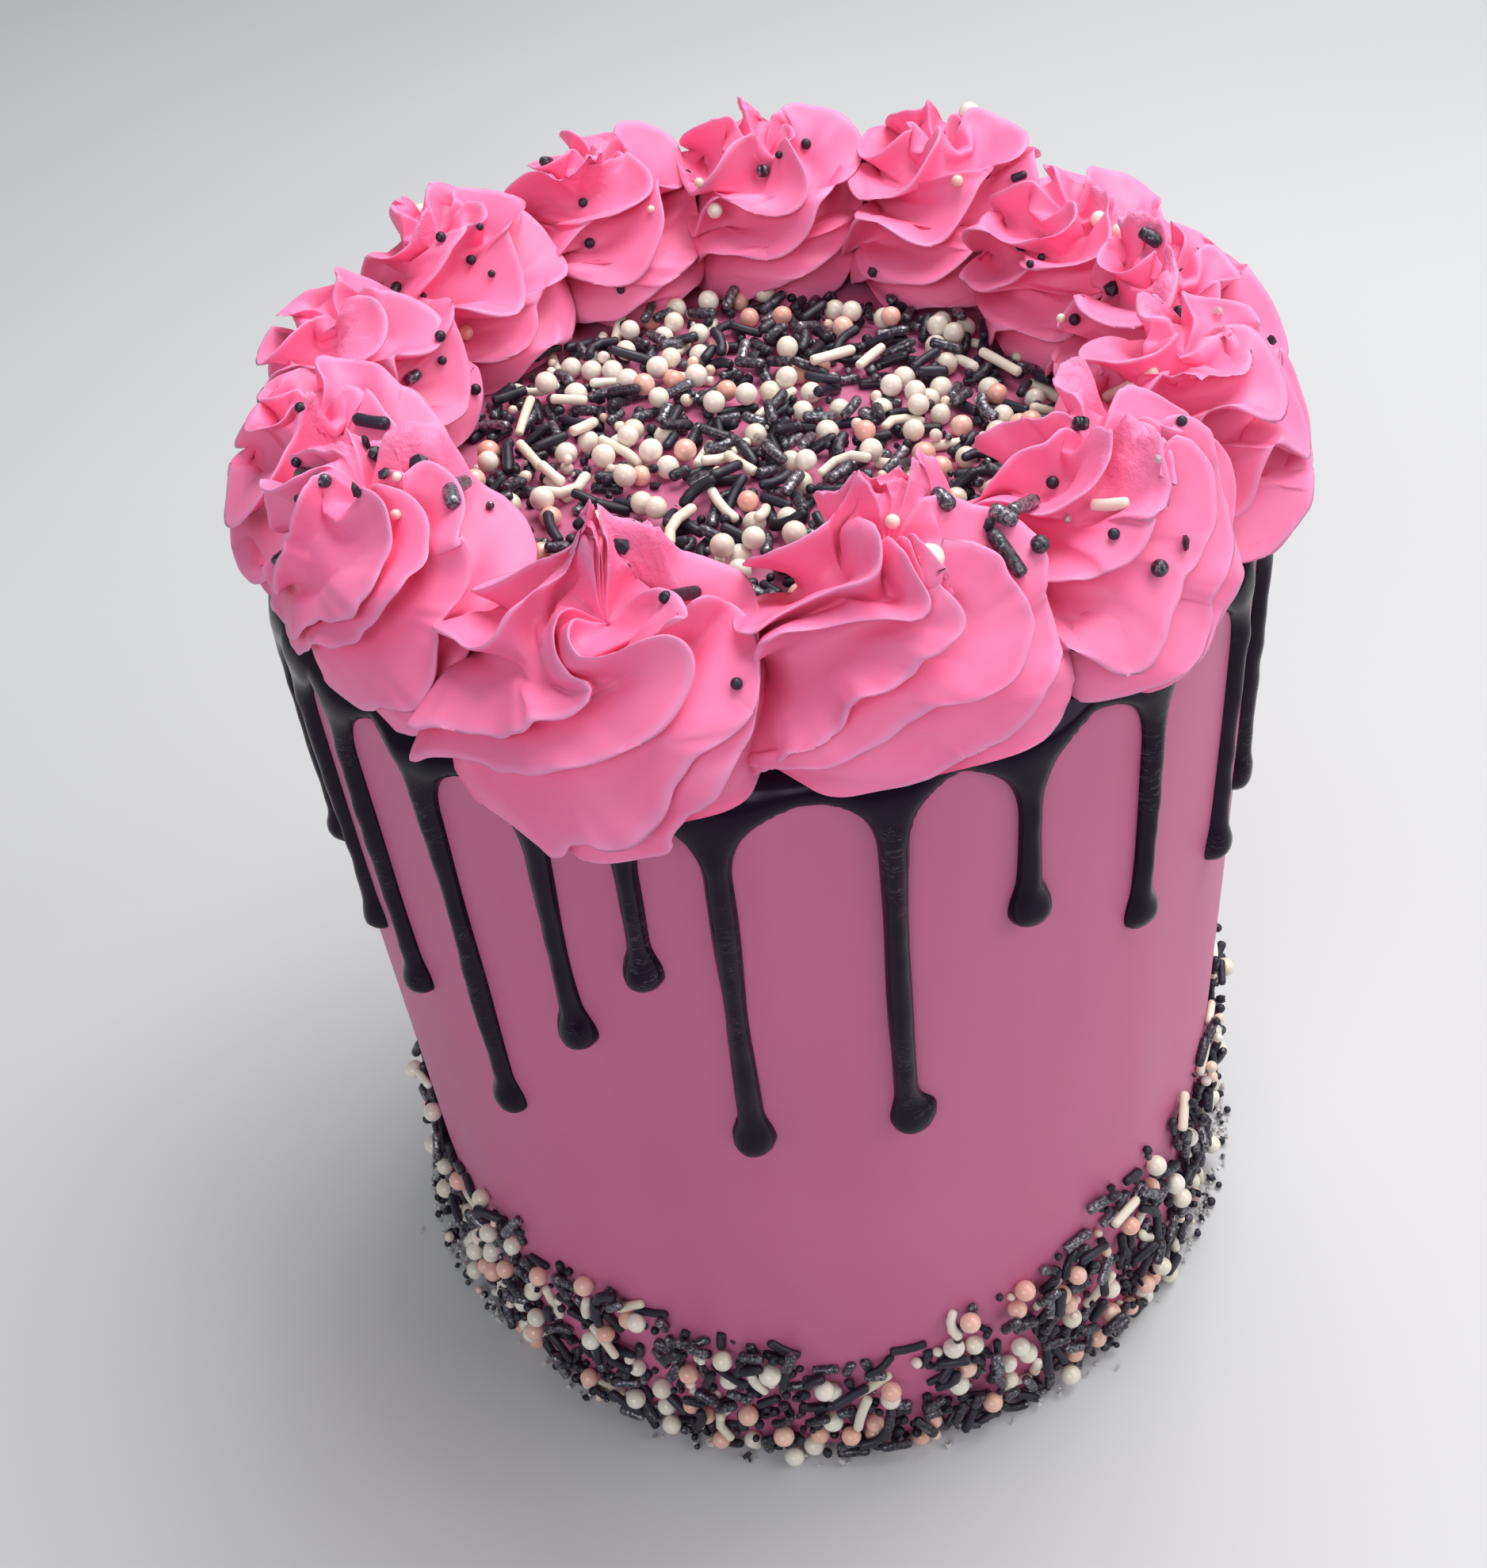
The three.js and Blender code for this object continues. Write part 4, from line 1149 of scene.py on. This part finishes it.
# single pieces on the piping, by where the photograph shows them: kind, size, one point or two ends
LOOSE = [
    ("sprinkles_graphite", 1.25, (378, 592), (410, 601)), ("sprinkles_black", 1.1, (450, 530), (494, 537)),
    ("sprinkles_graphite", 1.25, (588, 612), (573, 641)), ("sprinkles_graphite", 1.1, (650, 634), (682, 648)),
    ("sprinkles_black", 1.0, (840, 757), (882, 749)), ("sprinkles_graphite", 1.15, (1172, 618), (1196, 643)),
    ("sprinkles_graphite", 1.2, (1246, 643), (1281, 662)), ("sprinkles_graphite", 1.1, (1276, 651), (1306, 637)),
    ("sprinkles_graphite", 1.1, (1247, 671), (1289, 729)), ("sprinkles_ivory", 1.0, (1375, 636), (1424, 633)),
    ("sprinkles_graphite", 1.15, (1350, 541), (1393, 508)), ("sprinkles_ivory", 0.95, (1390, 503), (1455, 468)),
    ("sprinkles_graphite", 1.15, (1440, 291), (1466, 309)), ("sprinkles_black", 0.8, (1276, 228), (1296, 221)),
    ("sprinkles_graphite", 1.2, (957, 216), (972, 212)), ("sprinkles_graphite", 1.0, (508, 480), (527, 468)),
    ("pearls_ivory", 1.95, (1183, 700)), ("beads_small", 1.05, (1124, 656)), ("pearls_ivory", 2.0, (1101, 588)),
    ("dots_silver", 1.35, (1311, 690)), ("dots_silver", 1.3, (1460, 717)), ("beads_small", 0.95, (685, 653)),
    ("dots_black", 0.85, (930, 864)), ("dots_black", 0.85, (1407, 676)), ("dots_black", 0.95, (1327, 608)),
    ("dots_black", 0.8, (1488, 532)), ("dots_black", 0.8, (376, 580)), ("chips_black", 1.0, (457, 561)),
    ("chips_black", 1.2, (470, 577)), ("chips_black", 1.0, (489, 598)), ("chips_black", 1.1, (527, 583)),
    ("chips_black", 1.0, (455, 620)), ("beads_small", 0.8, (502, 650)), ("beads_small", 0.75, (503, 602)),
    ("chips_black", 1.0, (785, 690)), ("chips_black", 1.0, (1245, 664)), ("chips_black", 1.1, (1493, 684)),
    ("sugar_crystals", 0.8, (1462, 579)), ("sugar_crystals", 0.9, (1345, 650)), ("chips_black", 1.2, (1405, 370)),
    ("beads_small", 0.8, (1341, 400)), ("dots_black", 1.0, (1355, 400)), ("sugar_crystals", 0.9, (1537, 394)),
    ("pearls_ivory", 1.5, (1380, 277)), ("pearls_ivory", 1.5, (1410, 297)), ("dots_black", 0.9, (1286, 315)),
    ("dots_black", 0.7, (1302, 334)), ("dots_black", 0.7, (1313, 328)), ("beads_small", 1.1, (1209, 230)),
    ("dots_black", 0.9, (1088, 203)), ("dots_black", 1.0, (1019, 184)), ("dots_black", 0.7, (985, 196)),
    ("dots_black", 0.9, (868, 216)), ("dots_black", 0.9, (735, 256)), ("dots_black", 1.0, (744, 307)),
    ("dots_black", 0.8, (784, 366)), ("beads_small", 0.9, (885, 233)), ("pearls_ivory", 1.5, (897, 261)),
    ("dots_black", 0.7, (604, 283)), ("dots_black", 0.95, (598, 330)), ("dots_black", 0.7, (621, 346)),
    ("dots_black", 0.95, (558, 299)), ("pearls_peach", 1.4, (587, 418)), ("dots_black", 1.0, (556, 428)),
    ("dots_black", 0.8, (557, 455)), ("dots_black", 1.0, (597, 493)), ("dots_black", 0.6, (532, 371)),
    ("dots_silver", 0.7, (618, 640)), ("chips_black", 0.7, (1103, 344)), ("beads_small", 0.7, (823, 265)),
]


def place_loose(scatter, rng, targets):
    """Single pieces on the piping: some found by sight lines, others dropped on the sides that face away."""
    bpy.context.view_layer.update()
    vs, ts, n = [], [], 0
    for ob in targets:
        me = ob.data
        me.calc_loop_triangles()
        v = np.empty(len(me.vertices) * 3, np.float32)
        me.vertices.foreach_get("co", v)
        t = np.empty(len(me.loop_triangles) * 3, np.int32)
        me.loop_triangles.foreach_get("vertices", t)
        vs.append(v.reshape(-1, 3) / MM)
        ts.append(t.reshape(-1, 3) + n)
        n += len(vs[-1])
    tree = BVHTree.FromPolygons(np.vstack(vs).tolist(), np.vstack(ts).tolist())
    for kind, size, *at in LOOSE:
        hits = []
        for p in at:
            loc, nor, _, _ = tree.ray_cast(Vector(CAM_AT), Vector(sight(*p)))
            if loc is not None:
                hits.append((np.array(loc), np.array(nor)))
        if len(hits) < len(at):
            continue
        if len(at) == 2:
            (p, a), (q, b) = hits
            if np.linalg.norm(p - q) > 16:
                d = CAM_RIGHT * 2.5
                q, b = p + d, a
            up = a + b
            up /= np.linalg.norm(up)
            lift = up * size * 0.75
            mid = (p + q) / 2 + lift
            c, m, _, _ = tree.find_nearest(Vector((p + q) / 2))
            c = np.array(c) + up * size * 0.75
            if (c - mid) @ up > 0:
                mid = c
            bow = np.cross(q - p, up) * rng.uniform(-0.05, 0.05)
            scatter.rod(rng, kind, [p + lift, mid + bow, q + lift], size)
        else:
            p, a = hits[0]
            scatter.ball(rng, kind, p + a * size * 0.7, size, fine=True)
    kinds = ["dots_black"] * 9 + ["beads_small"] * 4 + ["chips_black"] * 4 + ["sprinkles_graphite"] * 3 + ["sprinkles_black"] * 2 + ["pearls_ivory"] * 2 + ["dots_silver"] * 3
    for _ in range(70):
        az = math.radians(rng.uniform(-15, 215))
        d = rng.uniform(66, 90)
        loc, nor, _, _ = tree.ray_cast(Vector((d * math.cos(az), d * math.sin(az), 300)), Vector((0, 0, -1)))
        kind = kinds[rng.integers(len(kinds))]
        turn = rng.uniform(0, TAU)
        if loc is None:
            continue
        p, a = np.array(loc), np.array(nor)
        eye = p - CAM_AT
        seen, _, _, _ = tree.ray_cast(Vector(CAM_AT), Vector(eye / np.linalg.norm(eye)))
        if seen is not None and np.linalg.norm(np.array(seen) - p) < 0.6:
            continue                         # only where the photograph can't show it
        if kind in ROD_KINDS:
            r0, short, long_ = ROD_KINDS[kind]
            t = np.cross(a, [math.cos(turn), math.sin(turn), 0.3])
            t /= np.linalg.norm(t)
            half = rng.uniform(short, long_) * 0.35
            c = p + a * r0 * 0.75
            scatter.rod(rng, kind, [c - t * half, c, c + t * half], r0)
        else:
            r0 = rng.uniform(*BALL_KINDS[kind])
            scatter.ball(rng, kind, p + a * r0 * 0.7, r0)


def build_sprinkles():
    rng = np.random.default_rng(4021)
    scatter = Scatter()
    fill_top(scatter, rng)
    fill_foot(scatter, rng)
    place_loose(scatter, rng, rosettes)
    mats = {
        "sprinkles_graphite": graphite_material(),
        "sprinkles_black": black_sugar_material(),
        "sprinkles_ivory": ivory_rod_material(),
        "pearls_ivory": pearl_material("pearl_ivory", (0.78, 0.71, 0.59), (0.88, 0.83, 0.74)),
        "pearls_peach": pearl_material("pearl_peach", (0.84, 0.44, 0.35), (0.90, 0.57, 0.47)),
        "beads_small": pearl_material("bead_small", (0.84, 0.55, 0.44), (0.84, 0.79, 0.70)),
    }
    mats["dots_black"] = mats["chips_black"] = mats["sprinkles_black"]
    mats["dots_silver"] = mats["sprinkles_graphite"]
    mats["sugar_crystals"] = crystal_material()
    return scatter.build(mats)


for ob in build_sprinkles():
    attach(ob, "root")


# ------------------------------------------------------------- floor and lights
def build_stage():
    me = bpy.data.meshes.new("floor")
    s = 3.0
    me.from_pydata([(-s, -s, 0), (s, -s, 0), (s, s, 0), (-s, s, 0)], [], [(0, 1, 2, 3)])
    floor = bpy.data.objects.new("floor", me)
    bpy.context.scene.collection.objects.link(floor)
    m = Nodes("floor_pale")
    m.link(m.ramp(m.noise(3, 2, 0.5), [(0.3, (0.56, 0.57, 0.59)), (0.7, (0.59, 0.60, 0.62))]), m.bsdf.inputs["Base Color"])
    m.set(Roughness=0.7, Specular_IOR_Level=0.2)
    floor.data.materials.append(m.mat)
    floor.location.z = -0.0002


def area_light(name, place, target, size, power, colour=(1, 1, 1)):
    data = bpy.data.lights.new(name, "AREA")
    data.shape = "RECTANGLE"
    data.size, data.size_y = size
    data.energy = power
    data.color = colour
    ob = bpy.data.objects.new(name, data)
    ob.location = place
    d = Vector(target) - Vector(place)
    ob.rotation_euler = d.to_track_quat("-Z", "Y").to_euler()
    bpy.context.scene.collection.objects.link(ob)
    return ob


def build_lights():
    world = bpy.data.worlds.new("studio")
    bpy.context.scene.world = world
    world.use_nodes = True
    bg = world.node_tree.nodes["Background"]
    bg.inputs["Color"].default_value = (0.80, 0.82, 0.86, 1)
    bg.inputs["Strength"].default_value = 0.30
    area_light("light_top", (0.35, 0.35, 1.15), (0, 0, 0.15), (0.9, 0.9), 16.5, (1.0, 0.985, 0.96))
    area_light("light_right", (1.0, -0.35, 0.75), (0, 0, 0.12), (0.7, 0.9), 5.0, (1.0, 0.98, 0.97))
    area_light("light_front", (-0.45, -1.10, 0.90), (0, 0, 0.10), (0.9, 0.5), 6.0, (0.96, 0.97, 1.0))


def build_camera():
    # focal length solved from the photograph, in pixels of the 1876 x 1978 frame
    focal_px = 2334.592
    data = bpy.data.cameras.new("camera")
    data.sensor_fit = "VERTICAL"
    data.sensor_height = 36.0
    data.sensor_width = 36.0
    data.lens = focal_px * 36.0 / 1978.0
    data.clip_start = 0.01
    data.clip_end = 50
    data.dof.use_dof = False
    ob = bpy.data.objects.new("camera", data)
    right = Vector((0.9944909, -0.04956866, -0.09236233))
    up = Vector((0.1016924, 0.66996146, 0.73539806))
    fwd = Vector((-0.0254265, 0.74073922, -0.67131133))
    m = Matrix.Identity(4)
    for i in range(3):
        m[i][0], m[i][1], m[i][2] = right[i], up[i], -fwd[i]
    m[0][3], m[1][3], m[2][3] = 0.0, -0.2735, 0.35511
    ob.matrix_world = m
    bpy.context.scene.collection.objects.link(ob)
    bpy.context.scene.camera = ob


build_stage()
build_lights()
build_camera()
bpy.context.scene.view_settings.view_transform = "Standard"
bpy.context.scene.view_settings.look = "None"
